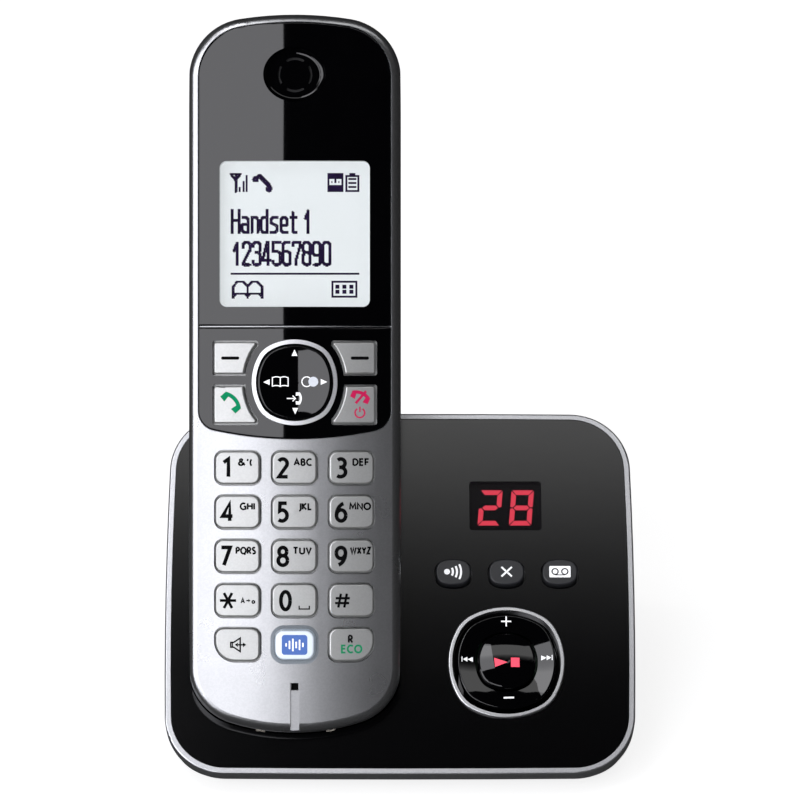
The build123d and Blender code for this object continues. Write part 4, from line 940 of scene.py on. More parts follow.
@dataclass
class Keypad:
    """Number keys of the handset and their print."""

    datum: Datum
    crown: Crown
    pitch_x: float = 12.9
    pitch_y: float = 10.03
    low_y: float = 20.1
    key_rise: float = 0.75
    figure_height: float = 4.88
    figure_line: float = 0.86
    letter_height: float = 1.8
    letter_line: float = 0.41
    letter_rise: float = 1.3
    dot_radius: float = 0.36
    dot_lift: float = 0.2
    arm_line: float = 0.62
    sign_line: float = 0.3
    level_pitch: float = 0.76

    def legends(self) -> list[KeyLegend]:
        """List the number keys with their figures and letters.

        Returns:
            One legend for each key from 1 to 9.
        """
        return [
            KeyLegend("key_1", 0, 4, "1", "&'(", -2.65, 1.7, 3.3),
            KeyLegend("key_2", 1, 4, "2", "ABC", -2.55, 1.9, 4.3),
            KeyLegend("key_3", 2, 4, "3", "DEF", -2.3, 2.15, 3.9),
            KeyLegend("key_4", 0, 3, "4", "GHI", -2.3, 2.2, 3.5),
            KeyLegend("key_5", 1, 3, "5", "JKL", -2.65, 2.4, 3.2),
            KeyLegend("key_6", 2, 3, "6", "MNO", -2.35, 1.95, 5.0),
            KeyLegend("key_7", 0, 2, "7", "PQRS", -2.7, 1.85, 4.7),
            KeyLegend("key_8", 1, 2, "8", "TUV", -2.65, 1.75, 4.4),
            KeyLegend("key_9", 2, 2, "9", "WXYZ", -2.4, 2.05, 4.8),
        ]

    def centre(self, column: int, row: int) -> Point:
        """Find the middle of a key on the handset's front.

        Args:
            column: Column from the left, from 0.
            row: Row from the bottom, from 0.

        Returns:
            The point in face millimetres.
        """
        return ((column - 1) * self.pitch_x, self.low_y + row * self.pitch_y)

    def printer(self, body: str, slot: str = "silver_key", lift: float = 0.03) -> Printer:
        """Set up the print on a key's crowned top.

        Args:
            body: Body of the key.
            slot: Material slot of the record. It is kept on the printer but not used.
            lift: How far the print stands above the key.

        Returns:
            The printer.
        """
        return Printer(self.datum, body, slot, self.crown.proud(self.key_rise), lift)

    def build(self) -> None:
        """Print every key of the pad."""
        for legend in self.legends():
            self.number(legend)
        self.star()
        self.zero()
        self.hash()
        self.speaker()
        self.noise()
        self.recall()

    def number(self, legend: KeyLegend) -> None:
        """Print a figure and its letters, and the dot that the thumb feels on the 5.

        Args:
            legend: What the key carries.
        """
        x, y = self.centre(legend.column, legend.row)
        key = self.printer(legend.node)
        key.text(legend.node + "_figure", legend.figure, (x + legend.figure_x, y),
                 self.figure_height, self.figure_line, INK_BLACK)
        key.text(legend.node + "_letters", legend.letters,
                 (x + legend.letters_x, y + self.letter_rise), self.letter_height,
                 self.letter_line, INK_BLACK, width=legend.letters_width)
        if legend.figure == "5":
            nub = self.printer(legend.node, lift=self.dot_lift)
            nub.marks("key_5_dot", [[disc((x + 0.1, y - 0.1), self.dot_radius)]], KEY_LACQUER)

    def star(self) -> None:
        """Print the six-armed star and the case change sign."""
        x, y = self.centre(0, 1)
        key = self.printer("key_star")
        for number, (angle, half) in enumerate(((0, 1.85), (62, 1.95), (118, 1.95))):
            arm = [[stroke([(-half, 0), (half, 0)], self.arm_line)]]
            key.marks(f"key_star_arm_{number}", turned(arm, angle, 1, (x - 2.2, y)), INK_BLACK)
        key.text("key_star_upper", "A", (x + 1.15, y), 1.4, self.sign_line, INK_BLACK)
        key.marks("key_star_arrow", [[stroke([(x + 1.95, y), (x + 2.5, y)], 0.28)],
                                     arrow_head((x + 2.9, y), 0.45, 0.38, 0)], INK_BLACK)
        key.text("key_star_lower", "a", (x + 3.55, y), 1.5, self.sign_line, INK_BLACK)

    def zero(self) -> None:
        """Print the nought and the space sign."""
        x, y = self.centre(1, 1)
        key = self.printer("key_0")
        key.text("key_0_figure", "0", (x - 2.05, y), self.figure_height, self.figure_line,
                 INK_BLACK)
        left, right, high, low = x + 1.05, x + 3.35, y - 1.15, y - 1.9
        space = stroke([(left, high), (left, low), (right, low), (right, high)], self.sign_line)
        key.marks("key_0_space", [[space]], INK_BLACK)

    def hash(self) -> None:
        """Print the hash sign from four bars."""
        x, y = self.centre(2, 1)
        self.printer("key_hash").text("key_hash_figure", "#", (x - 2.05, y), 3.7, 0.55, INK_BLACK,
                                      width=3.9)

    def speaker(self) -> None:
        """Print the loudspeaker with its double arrow."""
        outline = [(-1.75, -0.72), (-0.95, -0.72), (0.75, -1.85), (0.75, 1.85), (-0.95, 0.72),
                   (-1.75, 0.72)]
        inner = [(-1.4, -0.38), (-0.85, -0.38), (0.4, -1.22), (0.4, 1.22), (-0.85, 0.38),
                 (-1.4, 0.38)]
        marks = [
            [outline, inner],
            [stroke([(0.1, 0), (1.2, 0)], 0.34)],
            arrow_head((1.95, 0), 0.75, 0.55, 0),
            arrow_head((-0.65, 0), 0.7, 0.5, 180),
            [stroke([(-1.18, -0.5), (-1.18, 0.5)], 0.26)],
        ]
        sign = turned(marks, 0, 1.0, self.centre(0, 0))
        self.printer("key_speaker").marks("key_speaker_icon", sign, INK_BLACK)

    def noise(self) -> None:
        """Print the blue field with level bars on the milky key."""
        x, y = self.centre(1, 0)
        self.printer("key_noise", "white_key").marks("key_noise_field",
                                                     [[bar((x, y), 5.8, 4.5, 0.65)]], INK_BLUE)
        levels = (0.8, 1.9, 2.9, 1.5, 2.4, 1.0)
        bars = [[bar((x - 1.9 + self.level_pitch * i, y), 0.36, tall, 0.15)]
                for i, tall in enumerate(levels)]
        self.printer("key_noise", "white_key", 0.07).marks("key_noise_levels", bars, INK_WHITE_PAINTED_GLOW)

    def recall(self) -> None:
        """Print the letter and the word of the recall key."""
        x, y = self.centre(2, 0)
        key = self.printer("key_recall")
        key.text("key_recall_upper", "R", (x - 0.2, y + 1.3), 2.0, 0.42, INK_BLACK)
        key.text("key_recall_lower", "ECO", (x + 0.05, y - 0.95), 2.0, 0.4, INK_GREEN, width=4.85)


@dataclass
class CallKeys:
    """Soft, talk and off keys and the four-way key."""

    datum: Datum
    crown: Crown
    rise: float = 0.75
    dish: Bowl = field(default_factory=lambda: Bowl(SCROLL_CENTRE, 0.25, 52.0))
    dash_width: float = 4.1
    dash_line: float = 0.72
    power_radius: float = 1.08
    power_line: float = 0.33
    sign_line: float = 0.24

    def build(self) -> None:
        """Print the keys round the four-way key."""
        self.soft()
        self.talk()
        self.off()
        self.four_way()

    def printer(self, body: str, lift: float = 0.03) -> Printer:
        """Set up the print on one of the side keys.

        Args:
            body: Body of the key.
            lift: How far the print stands above the key.

        Returns:
            The printer.
        """
        return Printer(self.datum, body, "silver_key", self.crown.proud(self.rise), lift)

    def soft(self) -> None:
        """Print the dashes of the soft keys."""
        for body, x in (("soft_key_left", -14.6), ("soft_key_right", 14.8)):
            dash = bar((x, 85.1), self.dash_width, self.dash_line, 0.34)
            self.printer(body).marks(body + "_dash", [[dash]], INK_BLACK)

    def talk(self) -> None:
        """Print the green receiver and the raised dot under it."""
        sign = turned([receiver()], -48, 5.2, (-14.2, 75.3))
        self.printer("talk_key").marks("talk_key_receiver", sign, INK_GREEN)
        dot = disc((-14.3, 72.3), 0.45)
        self.printer("talk_key", 0.18).marks("talk_key_dot", [[dot]], KEY_LACQUER)

    def off(self) -> None:
        """Print the crossed receiver and the power sign."""
        key = self.printer("off_key")
        sign = turned([receiver()], -24, 4.4, (15.0, 76.5))
        key.marks("off_key_receiver", sign, INK_CRIMSON)
        slash = stroke([(13.85, 74.85), (16.2, 77.6)], 0.55)
        self.printer("off_key", 0.036).marks("off_key_slash", [[slash]], INK_CRIMSON)
        ring = arc((14.8, 72.7), self.power_radius, 122, 418, 24)
        key.marks("off_key_power", [[stroke(ring, self.power_line)],
                                    [stroke([(14.8, 72.9), (14.8, 74.1)], self.power_line)]],
                  INK_CRIMSON)

    def four_way(self) -> None:
        """Print the arrows, book, circles and incoming call sign of the four-way key."""
        x, y = self.dish.centre
        key = Printer(self.datum, "navigation_key", "black_gloss", self.dish.height, 0.06)
        heads = [((0.0, 7.45), 90), ((0.15, -7.25), 270), ((-7.1, 0.05), 180), ((7.4, 0.1), 0)]
        marks = [arrow_head((x + dx, y + dy), 1.45, 0.66, angle) for (dx, dy), angle in heads]
        marks += self.book((x - 3.25, y + 0.15))
        low, tip = y - 3.65, 0.65
        marks.append([stroke([(x - 1.75, low), (x + 0.15, low)], self.sign_line)])
        marks.append([stroke([(x - 0.45, low + tip), (x + 0.2, low), (x - 0.45, low - tip)],
                             self.sign_line)])
        marks += turned([receiver()], -90, 2.75, (x + 0.98, low))
        key.marks("navigation_key_signs", marks, INK_WHITE_PAINTED_GLOW)
        key.marks("navigation_key_ring", [hoop((x + 2.75, y + 0.15), 1.1, self.sign_line)],
                  INK_WHITE_PAINTED_GLOW)
        over = Printer(self.datum, "navigation_key", "black_gloss", self.dish.height, 0.08)
        over.marks("navigation_key_disc", [[disc((x + 4.25, y + 0.15), 1.12)]], INK_PEARL_PAINTED_GLOW)

    def book(self, centre: Point) -> list[Mark]:
        """Draw the two pages of an open book.

        Args:
            centre: Middle of the book's spine.

        Returns:
            One stroke for each page.
        """
        pages = []
        for side in (-1, 1):
            page = [(0, 0.95), (0.45, 1.08), (1.1, 1.12), (1.78, 0.92), (1.78, -1.0),
                    (1.1, -0.86), (0.45, -0.9), (0, -1.05), (0, 0.95)]
            pages.append([stroke([(centre[0] + side * a, centre[1] + b) for a, b in page], 0.22)])
        return pages


@dataclass
class DotDisplay:
    """The handset's backlit display: strokes set as square dots on its glass."""

    datum: Datum
    centre_y: float = 113.3
    glass_level: float = -3.6
    dot: float = 0.227
    columns: int = 149
    rows: int = 145
    line: float = 3.0
    thin_line: float = 2.5
    letter_width: float = 0.86
    letter_height: float = 0.93
    dots: set[tuple[int, int]] = field(default_factory=set)

    GLYPHS = {
        "1": [[(1, 15), (4.4, 23.2), (4.4, 0)]],
        "2": [[(0, 19), (0, 22), (2, 24), (6, 24), (8, 22), (8, 16), (0, 2), (0, 0), (8, 0)]],
        "3": [[(0, 20), (0, 22), (2, 24), (6, 24), (8, 22), (8, 15), (6, 13), (3, 13)],
              [(6, 13), (8, 11), (8, 2), (6, 0), (2, 0), (0, 2), (0, 4)]],
        "4": [[(8.5, 5), (0, 5), (0, 8), (4.5, 24), (5.5, 24)], [(5.8, 24), (5.8, 0)]],
        "5": [[(8, 24), (0, 24), (0, 14), (6, 14), (8, 12), (8, 2), (6, 0), (2, 0), (0, 2),
               (0, 4)]],
        "6": [[(7, 24), (2, 24), (0, 22), (0, 2), (2, 0), (6, 0), (8, 2), (8, 12), (6, 14),
               (1, 14)]],
        "7": [[(0, 21), (0, 24), (8, 24), (8, 20), (3, 5), (3, 0)]],
        "8": [[(2, 24), (6, 24), (8, 22), (8, 15), (6, 13), (2, 13), (0, 15), (0, 22), (2, 24)],
              [(2, 13), (0, 11), (0, 2), (2, 0), (6, 0), (8, 2), (8, 11), (6, 13)]],
        "9": [[(1, 0), (6, 0), (8, 2), (8, 22), (6, 24), (2, 24), (0, 22), (0, 12), (2, 10),
               (7, 10)]],
        "0": [[(2, 24), (6, 24), (8, 22), (8, 2), (6, 0), (2, 0), (0, 2), (0, 22), (2, 24)]],
        "H": [[(0, 0), (0, 24)], [(8, 0), (8, 24)], [(0, 13), (8, 13)]],
        "a": [[(1, 16), (5, 16), (7, 14), (7, 0), (2, 0), (0, 2), (0, 7), (2, 9), (7, 9)]],
        "n": [[(0, 0), (0, 16), (5, 16), (7, 14), (7, 0)]],
        "d": [[(7, 24), (7, 0), (2, 0), (0, 2), (0, 14), (2, 16), (7, 16)]],
        "s": [[(7, 16), (2, 16), (0, 14), (0, 10), (7, 7), (7, 2), (5, 0), (0, 0)]],
        "e": [[(7, 0), (2, 0), (0, 2), (0, 14), (2, 16), (5, 16), (7, 14), (7, 8), (0, 8)]],
        "t": [[(2, 22), (2, 2), (4, 0), (6, 0)], [(0, 16), (6, 16)]],
    }

    def build(self) -> None:
        """Set the whole picture and make it one mesh."""
        self.words("Handset", 11.5, 74.5, 9.8)
        self.words("1", 84.0, 74.5, 10.0)
        self.words("1234567890", 12.5, 42.0, 10.05)
        self.fill(10, 139, 32, 34)
        self.status()
        self.menu()
        self.mesh()

    def words(self, text: str, x: float, y: float, pitch: float) -> None:
        """Set a row of letters.

        Args:
            text: Letters to set.
            x: Column of the first letter's lower left corner.
            y: Row of that corner.
            pitch: Dots from one letter to the next.
        """
        wide, tall = self.letter_width, self.letter_height
        for number, letter in enumerate(text):
            for line in self.GLYPHS[letter]:
                self.draw([(x + number * pitch + a * wide, y + b * tall) for a, b in line],
                          self.line)

    def draw(self, points: Loop, line: float) -> None:
        """Darken every dot whose middle lies within half a line of a stroke.

        The distance is the mean of the straight and the square one, which gives the strokes
        of a dot display: half round, half stepped.

        Args:
            points: Points of the stroke, in dots.
            line: Width of the stroke, in dots.
        """
        for (ax, ay), (bx, by) in zip(points, points[1:]):
            dx, dy = bx - ax, by - ay
            length = dx * dx + dy * dy or 1.0
            for i in range(int(min(ax, bx) - line), int(max(ax, bx) + line) + 1):
                for j in range(int(min(ay, by) - line), int(max(ay, by) + line) + 1):
                    px, py = i + 0.5 - ax, j + 0.5 - ay
                    t = min(1.0, max(0.0, (px * dx + py * dy) / length))
                    off_x, off_y = px - t * dx, py - t * dy
                    near = max(abs(off_x), abs(off_y)) * 0.5 + math.hypot(off_x, off_y) * 0.5
                    if near <= line / 2:
                        self.dots.add((i, j))

    def fill(self, left: int, right: int, low: int, high: int) -> None:
        """Darken a block of dots.

        Args:
            left: First column.
            right: Column after the last.
            low: First row.
            high: Row after the last.
        """
        self.dots |= {(i, j) for i in range(left, right) for j in range(low, high)}

    def clear(self, left: int, right: int, low: int, high: int) -> None:
        """Lighten a block of dots.

        Args:
            left: First column.
            right: Column after the last.
            low: First row.
            high: Row after the last.
        """
        self.dots -= {(i, j) for i in range(left, right) for j in range(low, high)}

    def status(self) -> None:
        """Set the aerial, receiver, tape and battery signs along the top."""
        for line in ([(10.5, 133), (19.5, 133)], [(11, 132), (15, 126.5)], [(19, 132), (15, 126.5)],
                     [(15.3, 133), (15.3, 115.5)]):
            self.draw(line, self.thin_line)
        for left, high in ((18, 120), (22, 126), (25, 132)):
            self.fill(left, left + 2, 115, high)
        for line, width in (([(35, 129), (39, 131), (43, 127), (48, 122), (50, 119)], 3.8),
                            ([(34, 127.5), (36, 127)], 5.0), ([(47.5, 118), (48.5, 117)], 5.0)):
            self.draw(line, width)
        self.fill(107, 123, 115, 134)
        for left in (109, 116):
            self.clear(left, left + 5, 122, 128)
            self.fill(left + 2, left + 3, 124, 126)
        self.clear(112, 118, 122, 124)
        self.fill(125, 139, 115, 132)
        self.fill(129, 135, 132, 134)
        self.clear(127, 137, 117, 130)
        for low in (119, 123, 127):
            self.fill(128, 136, low, low + 2)

    def menu(self) -> None:
        """Set the book and the keypad sign along the bottom."""
        for side in (0, 1):
            left = 12.5 + 14.5 * side
            page = [(left, 9), (left, 20), (left + 4, 25), (left + 10, 25), (left + 14.5, 20),
                    (left + 14.5, 9)]
            fold = [(left + 3, 13), (left + 12, 13)]
            for line in (page, fold, [(left, 10.5), fold[0]], [fold[1], (left + 14.5, 10.5)]):
                self.draw(line, self.thin_line)
        self.fill(111, 137, 9, 26)
        self.clear(113, 135, 11, 24)
        for left in (115, 122, 129):
            for low in (13, 18):
                self.fill(left, left + 4, low, low + 4)

    def mesh(self) -> None:
        """Join the dots of each row into bars and lay them on the glass."""
        left = -self.columns * self.dot / 2
        low = self.centre_y - self.rows * self.dot / 2
        bars: list[Mark] = []
        for row in sorted({j for _, j in self.dots}):
            filled = sorted(i for i, j in self.dots if j == row)
            start = filled[0]
            for here, after in zip(filled, [*filled[1:], None]):
                if after != here + 1:
                    width = (here + 1 - start) * self.dot
                    centre = (left + start * self.dot + width / 2, low + (row + 0.5) * self.dot)
                    bars.append([bar(centre, width, self.dot)])
                    start = after
        glass = Printer(self.datum, "handset", "lcd", lambda x, y: self.glass_level, sink=0.01)
        glass.marks("display_picture", bars, DISPLAY_DOT)


# ---- the base -----------------------------------------------------------------------
# Middle of the ring of keys on the base's top, and the height of its pivot there.
RING_CENTRE = (24.4, 26.6)
RING_PIVOT_Z = -3.0


@dataclass
class MessageCounter:
    """Two slanted seven-bar figures behind the smoked window."""

    datum: Datum
    centre: Point = (24.65, 65.25)
    level: float = -2.6
    pitch: float = 7.3
    width: float = 5.2
    tall: float = 8.7
    line: float = 1.12
    gap: float = 0.22
    slant: float = 0.085

    SEGMENTS = {"2": "abged", "8": "abcdefg"}

    def build(self) -> None:
        """Light the two figures, left to right."""
        light = Printer(self.datum, "base", "led", lambda x, y: self.level, lift=0.1, sink=0.02)
        for number, figure in enumerate(self.SEGMENTS):
            shift = (number - 0.5) * self.pitch
            marks = [[self.segment(letter, shift)] for letter in self.SEGMENTS[figure]]
            light.marks(f"counter_figure_{number + 1}", marks, RED_BAR)

    def segment(self, letter: str, shift: float) -> Loop:
        """Draw one bar.

        Args:
            letter: Usual letter of the bar, from a to g.
            shift: Sideways place of the figure.

        Returns:
            Outline in deck millimetres.
        """
        w, h, t, g = self.width / 2, self.tall / 2, self.line, self.gap
        top = [(-w + g, h), (w - g, h), (w - t, h - t), (-w + t, h - t)]
        side = [(w, h - g), (w, g + 0.05), (w - t / 2, g / 2), (w - t, t / 2 + g),
                (w - t, h - t - g)]
        middle = [(-w + t / 2 + g, 0), (-w + t + g, t / 2), (w - t - g, t / 2), (w - t / 2 - g, 0),
                  (w - t - g, -t / 2), (-w + t + g, -t / 2)]
        shapes = {
            "a": top,
            "b": side,
            "c": [(x, -y) for x, y in side],
            "d": [(x, -y) for x, y in top],
            "e": [(-x, -y) for x, y in side],
            "f": [(-x, y) for x, y in side],
            "g": middle,
        }
        cx, cy = self.centre
        return [(cx + shift + x + self.slant * y, cy + y) for x, y in shapes[letter]]


@dataclass
class BaseControls:
    """Print on the base's oval keys and its ring of keys."""

    datum: Datum
    row: float = 48.1
    middle_x: float = 24.6
    pitch: float = 12.3
    top: float = 1.5
    reel_x: float = 1.12
    cross_line: float = 0.42
    plus_line: float = 0.3
    plus_y: float = 9.7
    plus_half: float = 1.15
    ring: Bowl = field(default_factory=lambda: Bowl(RING_CENTRE, -0.1, 60.0))
    button: Bowl = field(default_factory=lambda: Bowl(RING_CENTRE, 2.0, -32.0))

    def build(self) -> None:
        """Print every control."""
        self.locator()
        self.erase()
        self.answer()
        self.ring_signs()
        self.play()

    def oval(self, body: str, lift: float = 0.03) -> Printer:
        """Set up the print on an oval key's flat top.

        Args:
            body: Body of the key.
            lift: How far the print stands above the key.

        Returns:
            The printer.
        """
        return Printer(self.datum, body, "grey_key", lambda x, y: self.top, lift)

    def locator(self) -> None:
        """Print the dot with three waves."""
        x = self.middle_x - self.pitch
        centre = (x - 1.45, self.row)
        marks = [[disc(centre, 0.68)]]
        source = (centre[0] - 0.7, self.row)
        for radius, line in ((2.05, 0.5), (3.0, 0.47), (3.95, 0.44)):
            marks.append([stroke(arc(source, radius, -27, 27, 8), line)])
        self.oval("base_locator_key").marks("locator_sign", marks, INK_WHITE_PAINTED_GLOW)

    def erase(self) -> None:
        """Print the cross: one whole arm and two halves that stop short of it."""
        x, y = self.middle_x, self.row
        arms = [[(x - 1.2, y - 1.15), (x + 1.2, y + 1.15)]]
        arms += [[(x + side * 0.2, y - side * 0.2), (x + side * 1.2, y - side * 1.15)]
                 for side in (-1, 1)]
        marks = [[stroke(arm, self.cross_line)] for arm in arms]
        self.oval("base_erase_key").marks("erase_sign", marks, INK_WHITE_PAINTED_GLOW)

    def answer(self) -> None:
        """Print the tape cassette sign."""
        x, y = self.middle_x + self.pitch, self.row
        centres = [(x + side * self.reel_x, y + 0.05) for side in (-1, 1)]
        plate = [bar((x, y), 4.9, 2.75, 0.25), *(disc(centre, 0.86) for centre in centres)]
        key = self.oval("base_answer_key")
        key.marks("answer_plate", [plate], INK_WHITE_PAINTED_GLOW)
        key.marks("answer_reels", [[disc(centre, 0.55)] for centre in centres], INK_WHITE_PAINTED_GLOW)
        self.oval("base_answer_key", 0.034).marks("answer_tape", [[bar((x, y - 0.78), 2.3, 0.22)]],
                                                  INK_BLACK)

    def ring_signs(self) -> None:
        """Print plus, minus and the two skip signs on the ring."""
        x, y = self.ring.centre
        ring = Printer(self.datum, "base_rocker_key", "black_gloss", self.ring.height, 0.06)
        high, half = y + self.plus_y, self.plus_half
        lines = [[(x - half, high), (x + half, high)]]
        lines += [[(x, high + side * 0.15), (x, high + side * half)] for side in (-1, 1)]
        volume = [[stroke(line, self.plus_line)] for line in lines]
        minus = [(x + 0.45 - 1.2, y - 8.6), (x + 0.45 + 1.2, y - 8.55)]
        volume.append([stroke(minus, 0.4)])
        ring.marks("volume_signs", volume, INK_WHITE_PAINTED_GLOW)
        skips: list[Mark] = []
        for side, angle, cx, cy in ((-1, 180, x - 8.85, y + 0.6), (1, 0, x + 9.1, y + 0.95)):
            stop = cx + side * 1.35
            skips.append(arrow_head((cx + side * 0.05, cy), 1.2, 0.6, angle))
            skips.append(arrow_head((cx + side * 1.15, cy), 1.05, 0.58, angle))
            skips.append([stroke([(stop, cy - 0.62), (stop, cy + 0.62)], 0.2)])
        ring.marks("skip_signs", skips, INK_WHITE_PAINTED_GLOW)

    def play(self) -> None:
        """Print the red triangle and square of the play key."""
        key = Printer(self.datum, "base_play_key", "black_gloss", self.button.height, 0.04)
        triangle = [(21.55, 27.15), (21.75, 24.95), (24.55, 26.05)]
        square = bar((26.35, 26.05), 1.95, 2.2)
        key.marks("play_signs", [[triangle], [square]], INK_RED)


@dataclass
class RatingLabel:
    """Blank label under the base."""

    desk: Datum
    low: float = 1.5
    centre: Point = (-16.0, -14.0)
    width: float = 40.0
    height: float = 22.0
    corner: float = 1.0

    def build(self) -> None:
        """Lay the label on the base's floor, from the underside."""
        floor = Printer(self.desk, "base", "case_black", lambda x, y: self.low, 0.0, 0.06)
        outline = bar(self.centre, self.width, self.height, self.corner)
        floor.marks("base_blank_label", [[outline]], LABEL_FILM)


# ---- studio -------------------------------------------------------------------------
@dataclass
class Studio:
    """Camera, floor and soft lights; lengths in metres unless they say otherwise."""

    face: Datum
    aim_y: float = 75.6
    distance: float = 0.95
    lens_mm: float = 188.5
    sensor_mm: float = 36.0
    clip: Point = (0.05, 20.0)
    card_colour: str = "#FAFAFF"
    card_distance: float = 1.3
    card_inner: float = 3.2
    card_outer: float = 19.0
    card_height: float = 0.66
    card_radiance: float = 3.5
    wing_inner: float = 24.0
    wing_outer: float = 66.0
    wing_radiance: float = 3.4
    high_spot: Corner = (0.0244, -0.026, 0.026)
    high_direction: Corner = (-0.32, -0.32, 0.89)
    high_size: Point = (0.42, 0.5)
    overhead_radiance: float = 1.8
    overhead_height: float = 1.5
    overhead_front: float = -0.49
    overhead_back: float = -0.26
    overhead_half: float = 1.1
    overhead_feather: float = 0.2
    feather_power: float = 3.2
    room_strength: float = 0.3
    mirrored_strength: float = 0.012
    floor_half: float = 3.0

    def build(self) -> None:
        """Set up everything round the object."""
        self.camera()
        self.floor()
        self.side_card()
        self.wing_card()
        self.high_card()
        self.overhead()
        self.surroundings()
        bpy.context.scene.view_settings.view_transform = "Standard"

    def aim(self) -> Vector:
        """Find the point on the handset's front plane that the camera looks at.

        Returns:
            The point, on the middle line of the view.
        """
        return self.face.at(-self.face.origin.x / MM, self.aim_y)

    def camera(self) -> None:
        """Stand the camera square to the handset's front."""
        lens = bpy.data.cameras.new("camera")
        lens.lens = self.lens_mm
        lens.sensor_width = self.sensor_mm
        lens.clip_start, lens.clip_end = self.clip
        camera = put_in_scene("camera", lens)
        turn = Matrix((self.face.across, self.face.along, self.face.out)).transposed().to_4x4()
        place = Matrix.Translation(self.aim() + self.face.out * self.distance)
        camera.matrix_world = place @ turn
        bpy.context.scene.camera = camera

    def panel(self, name: str, low: Point, high: Point, level: float, material: bpy.types.Material,
              order: Sequence[int] = (0, 1, 2, 3)) -> bpy.types.Object:
        """Lay out a flat level panel that isn't part of the object.

        Args:
            name: Name of the panel.
            low: Its lowest x and y.
            high: Its highest x and y.
            level: Its height above the floor.
            material: What it is made of.
            order: Order of its corners, from the low one anticlockwise; backwards, it faces down.

        Returns:
            The panel.
        """
        mesh = bpy.data.meshes.new(name)
        around = [(low[0], low[1]), (high[0], low[1]), (high[0], high[1]), (low[0], high[1])]
        corners = [(*around[i], level) for i in order]
        mesh.from_pydata(corners, [], [(0, 1, 2, 3)])
        mesh.materials.append(material)
        made = put_in_scene(name, mesh)
        return made

    def floor(self) -> None:
        """Lay the pale floor, which shines a little of its own so that no shadow turns dark."""
        paper = Finish("pale paper floor", "#B4B4B4", "#B2B2B2", 0.9, grain_mm=2.0, depth_mm=0.01,
                       mottle_mm=60.0, glow="#FFFFFF", glow_strength=0.8)
        half = self.floor_half
        floor = self.panel("floor", (-half, -half), (half, half), 0.0, paper.material())
        floor.visible_glossy = False

    def area(self, name: str, centre: Vector, target: Vector, size: Point, radiance: float,
             up: Vector) -> None:
        """Add a rectangular soft light.

        Args:
            name: Name of the light.
            centre: Middle of the light.
            target: Point that it faces.
            size: Width and height in metres.
            radiance: Brightness of its face in watts per square metre and steradian.
            up: Rough direction of the light's height.
        """
        data = bpy.data.lights.new(name, "AREA")
        data.shape = "RECTANGLE"
        data.size, data.size_y = size
        data.color = linear(self.card_colour)[:3]
        data.energy = radiance * math.pi * size[0] * size[1]
        lamp = put_in_scene(name, data)
        back = (centre - target).normalized()
        side = up.cross(back).normalized()
        turn = Matrix((side, back.cross(side), back)).transposed().to_4x4()
        lamp.matrix_world = Matrix.Translation(centre) @ turn

    def side_card(self) -> None:
        """Hang a card beside the camera, whose inner edge ends in the acrylic's reflection."""
        self.upright_card("side card", self.card_inner, self.card_outer, self.card_height,
                          self.card_radiance)

    def wing_card(self) -> None:
        """Hang a second card further round that lights the rolled left edges."""
        self.upright_card("wing card", self.wing_inner, self.wing_outer, 2 * self.card_height,
                          self.wing_radiance)

    def upright_card(self, name: str, inner: float, outer: float, height: float,
                     radiance: float) -> None:
        """Hang an upright card to the left of the camera.

        Args:
            name: Name of the light.
            inner: Angle of its near edge from the face's normal, in degrees.
            outer: Angle of its far edge, in degrees.
            height: Height in metres.
            radiance: Brightness of its face.
        """
        spot = self.face.at(0.0, self.aim_y)
        across, out = self.face.across, self.face.out
        near, far = (-across * math.tan(math.radians(angle)) for angle in (inner, outer))
        centre = spot + (out + (near + far) / 2) * self.card_distance
        width = (far - near).length * self.card_distance
        self.area(name, centre, centre - out, (width, height), radiance, self.face.along)

    def high_card(self) -> None:
        """Hang a card high on the left that shows in the dished and domed keys of the base."""
        spot = Vector(self.high_spot)
        centre = spot + Vector(self.high_direction).normalized() * self.card_distance
        self.area("high card", centre, spot, self.high_size, self.card_radiance,
                  Vector((0, 1, 0)))

    def overhead(self) -> None:
        """Hang a broad card overhead whose front edge fades out, as a feathered softbox does."""
        low = (-self.overhead_half, self.overhead_front - self.overhead_feather)
        high = (self.overhead_half, self.overhead_back)
        self.panel("overhead_card", low, high, self.overhead_height, self.feathered(), (0, 3, 2, 1))

    def feathered(self) -> bpy.types.Material:
        """Build the overhead card's light, which fades towards the card's front edge.

        Returns:
            The glowing material.
        """
        glow = bpy.data.materials.new("feathered card")
        glow.use_nodes = True
        tree = glow.node_tree
        tree.nodes.clear()
        place = add_node(tree, "ShaderNodeTexCoord")
        depth = add_node(tree, "ShaderNodeSeparateXYZ", links={0: place.outputs["Object"]})
        front = self.overhead_front
        fade = add_node(tree, "ShaderNodeMapRange",
                        inputs={"From Min": front - self.overhead_feather, "From Max": front},
                        links={"Value": depth.outputs["Y"]})
        curve = add_node(tree, "ShaderNodeMath", settings={"operation": "POWER"},
                         inputs={1: self.feather_power}, links={0: fade.outputs["Result"]})
        strength = add_node(tree, "ShaderNodeMath", settings={"operation": "MULTIPLY"},
                            inputs={1: self.overhead_radiance}, links={0: curve.outputs[0]})
        light = add_node(tree, "ShaderNodeEmission", inputs={"Color": linear("#FFFFFF")},
                         links={"Strength": strength.outputs[0]})
        add_node(tree, "ShaderNodeOutputMaterial", links={"Surface": light.outputs[0]})
        return glow

    def surroundings(self) -> None:
        """Light matt surfaces evenly and leave mirror-like ones a dark room."""
        world = bpy.data.worlds.new("studio")
        bpy.context.scene.world = world
        world.use_nodes = True
        tree = world.node_tree
        tree.nodes.clear()
        rays = add_node(tree, "ShaderNodeLightPath")
        soft, dark = (
            add_node(tree, "ShaderNodeBackground",
                     inputs={"Color": linear("#FFFFFF"), "Strength": strength})
            for strength in (self.room_strength, self.mirrored_strength)
        )
        mix = add_node(tree, "ShaderNodeMixShader",
                       links={0: rays.outputs["Is Glossy Ray"], 1: soft.outputs[0],
                              2: dark.outputs[0]})
        add_node(tree, "ShaderNodeOutputWorld", links={"Surface": mix.outputs[0]})


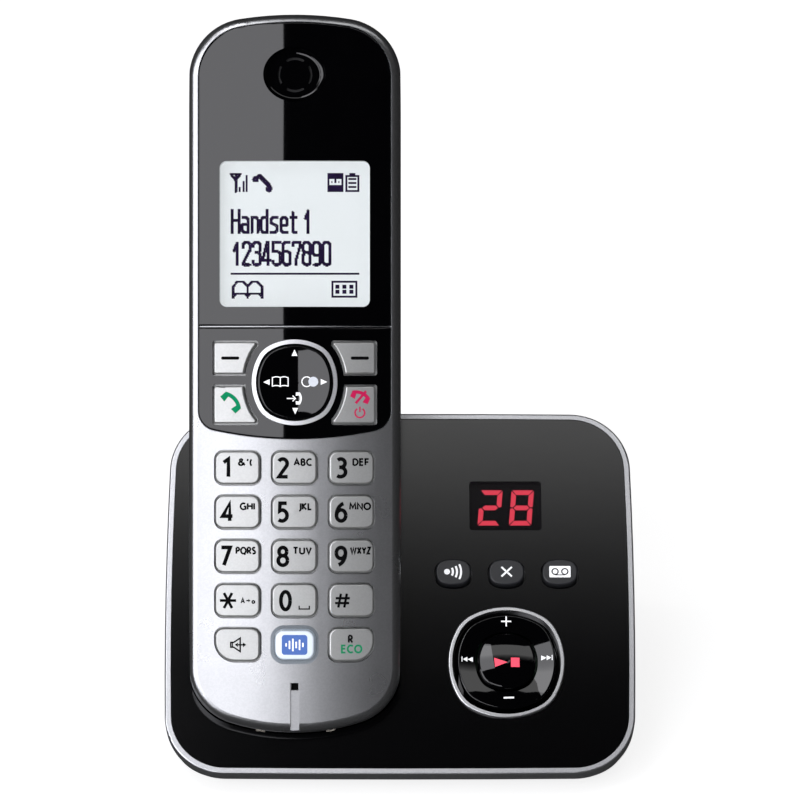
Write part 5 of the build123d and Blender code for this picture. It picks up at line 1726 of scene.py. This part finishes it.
# ---- assembly -----------------------------------------------------------------------
@dataclass
class Telephone:
    """The whole object: dresses the frame's nodes and prints its legends."""

    nodes: Mapping[str, bpy.types.Object]
    joints: Sequence[Mapping[str, object]]

    def joint(self, name: str, key: str) -> Vector:
        """Read a vector value of a joint.

        Args:
            name: Name of the joint.
            key: Name of the value.

        Returns:
            The value.
        """
        return next(Vector(joint[key]) for joint in self.joints if joint["name"] == name)

    def datum(self, lengthwise: str, crosswise: str, centre: Point, level: float) -> Datum:
        """Set up a local frame from two joints that are square to each other.

        Args:
            lengthwise: Joint whose axis runs along the frame.
            crosswise: Joint that gives the place of the pivot.
            centre: Place of that pivot in the frame, across and along.
            level: Its height in the frame.

        Returns:
            The local frame.
        """
        along = self.joint(lengthwise, "axis").normalized()
        across = Vector((1, 0, 0))
        out = across.cross(along)
        pivot = across * centre[0] + along * centre[1] + out * level
        return Datum(self.joint(crosswise, "pos_m") - pivot * MM, across, along, out)

    def face(self) -> Datum:
        """Set up the frame of the handset's front, from the four-way key's pivot."""
        return self.datum("handset_lift", "scroll_tilt", SCROLL_CENTRE, SCROLL_PIVOT_Z)

    def deck(self) -> Datum:
        """Set up the frame of the base's sloping top, from the ring key's pivot."""
        return self.datum("skip_tilt", "volume_tilt", RING_CENTRE, RING_PIVOT_Z)

    def dress(self) -> None:
        """Give every carried-over node its finish."""
        for finish, names in NODE_FINISHES.items():
            for name in names:
                node = self.nodes[name]
                for slot in node.material_slots:
                    slot.material = finish.material()
                LOG.info("dressed %s in %s", name, finish.title)


def main() -> None:
    """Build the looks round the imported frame."""
    logging.basicConfig(level=logging.INFO, format="%(levelname)s %(message)s")
    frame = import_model()
    phone = Telephone(frame["nodes"], frame["joints"])
    phone.dress()
    face, deck = phone.face(), phone.deck()
    crown = Crown()
    desk = Datum(Vector((0, 0, 0)), Vector((1, 0, 0)), Vector((0, 1, 0)), Vector((0, 0, 1)))
    for part in (Keypad(face, crown), CallKeys(face, crown), DotDisplay(face),
                 MessageCounter(deck), BaseControls(deck), RatingLabel(desk), Studio(face)):
        part.build()
        LOG.info("built %s", type(part).__name__)


if __name__ == "__main__":
    main()
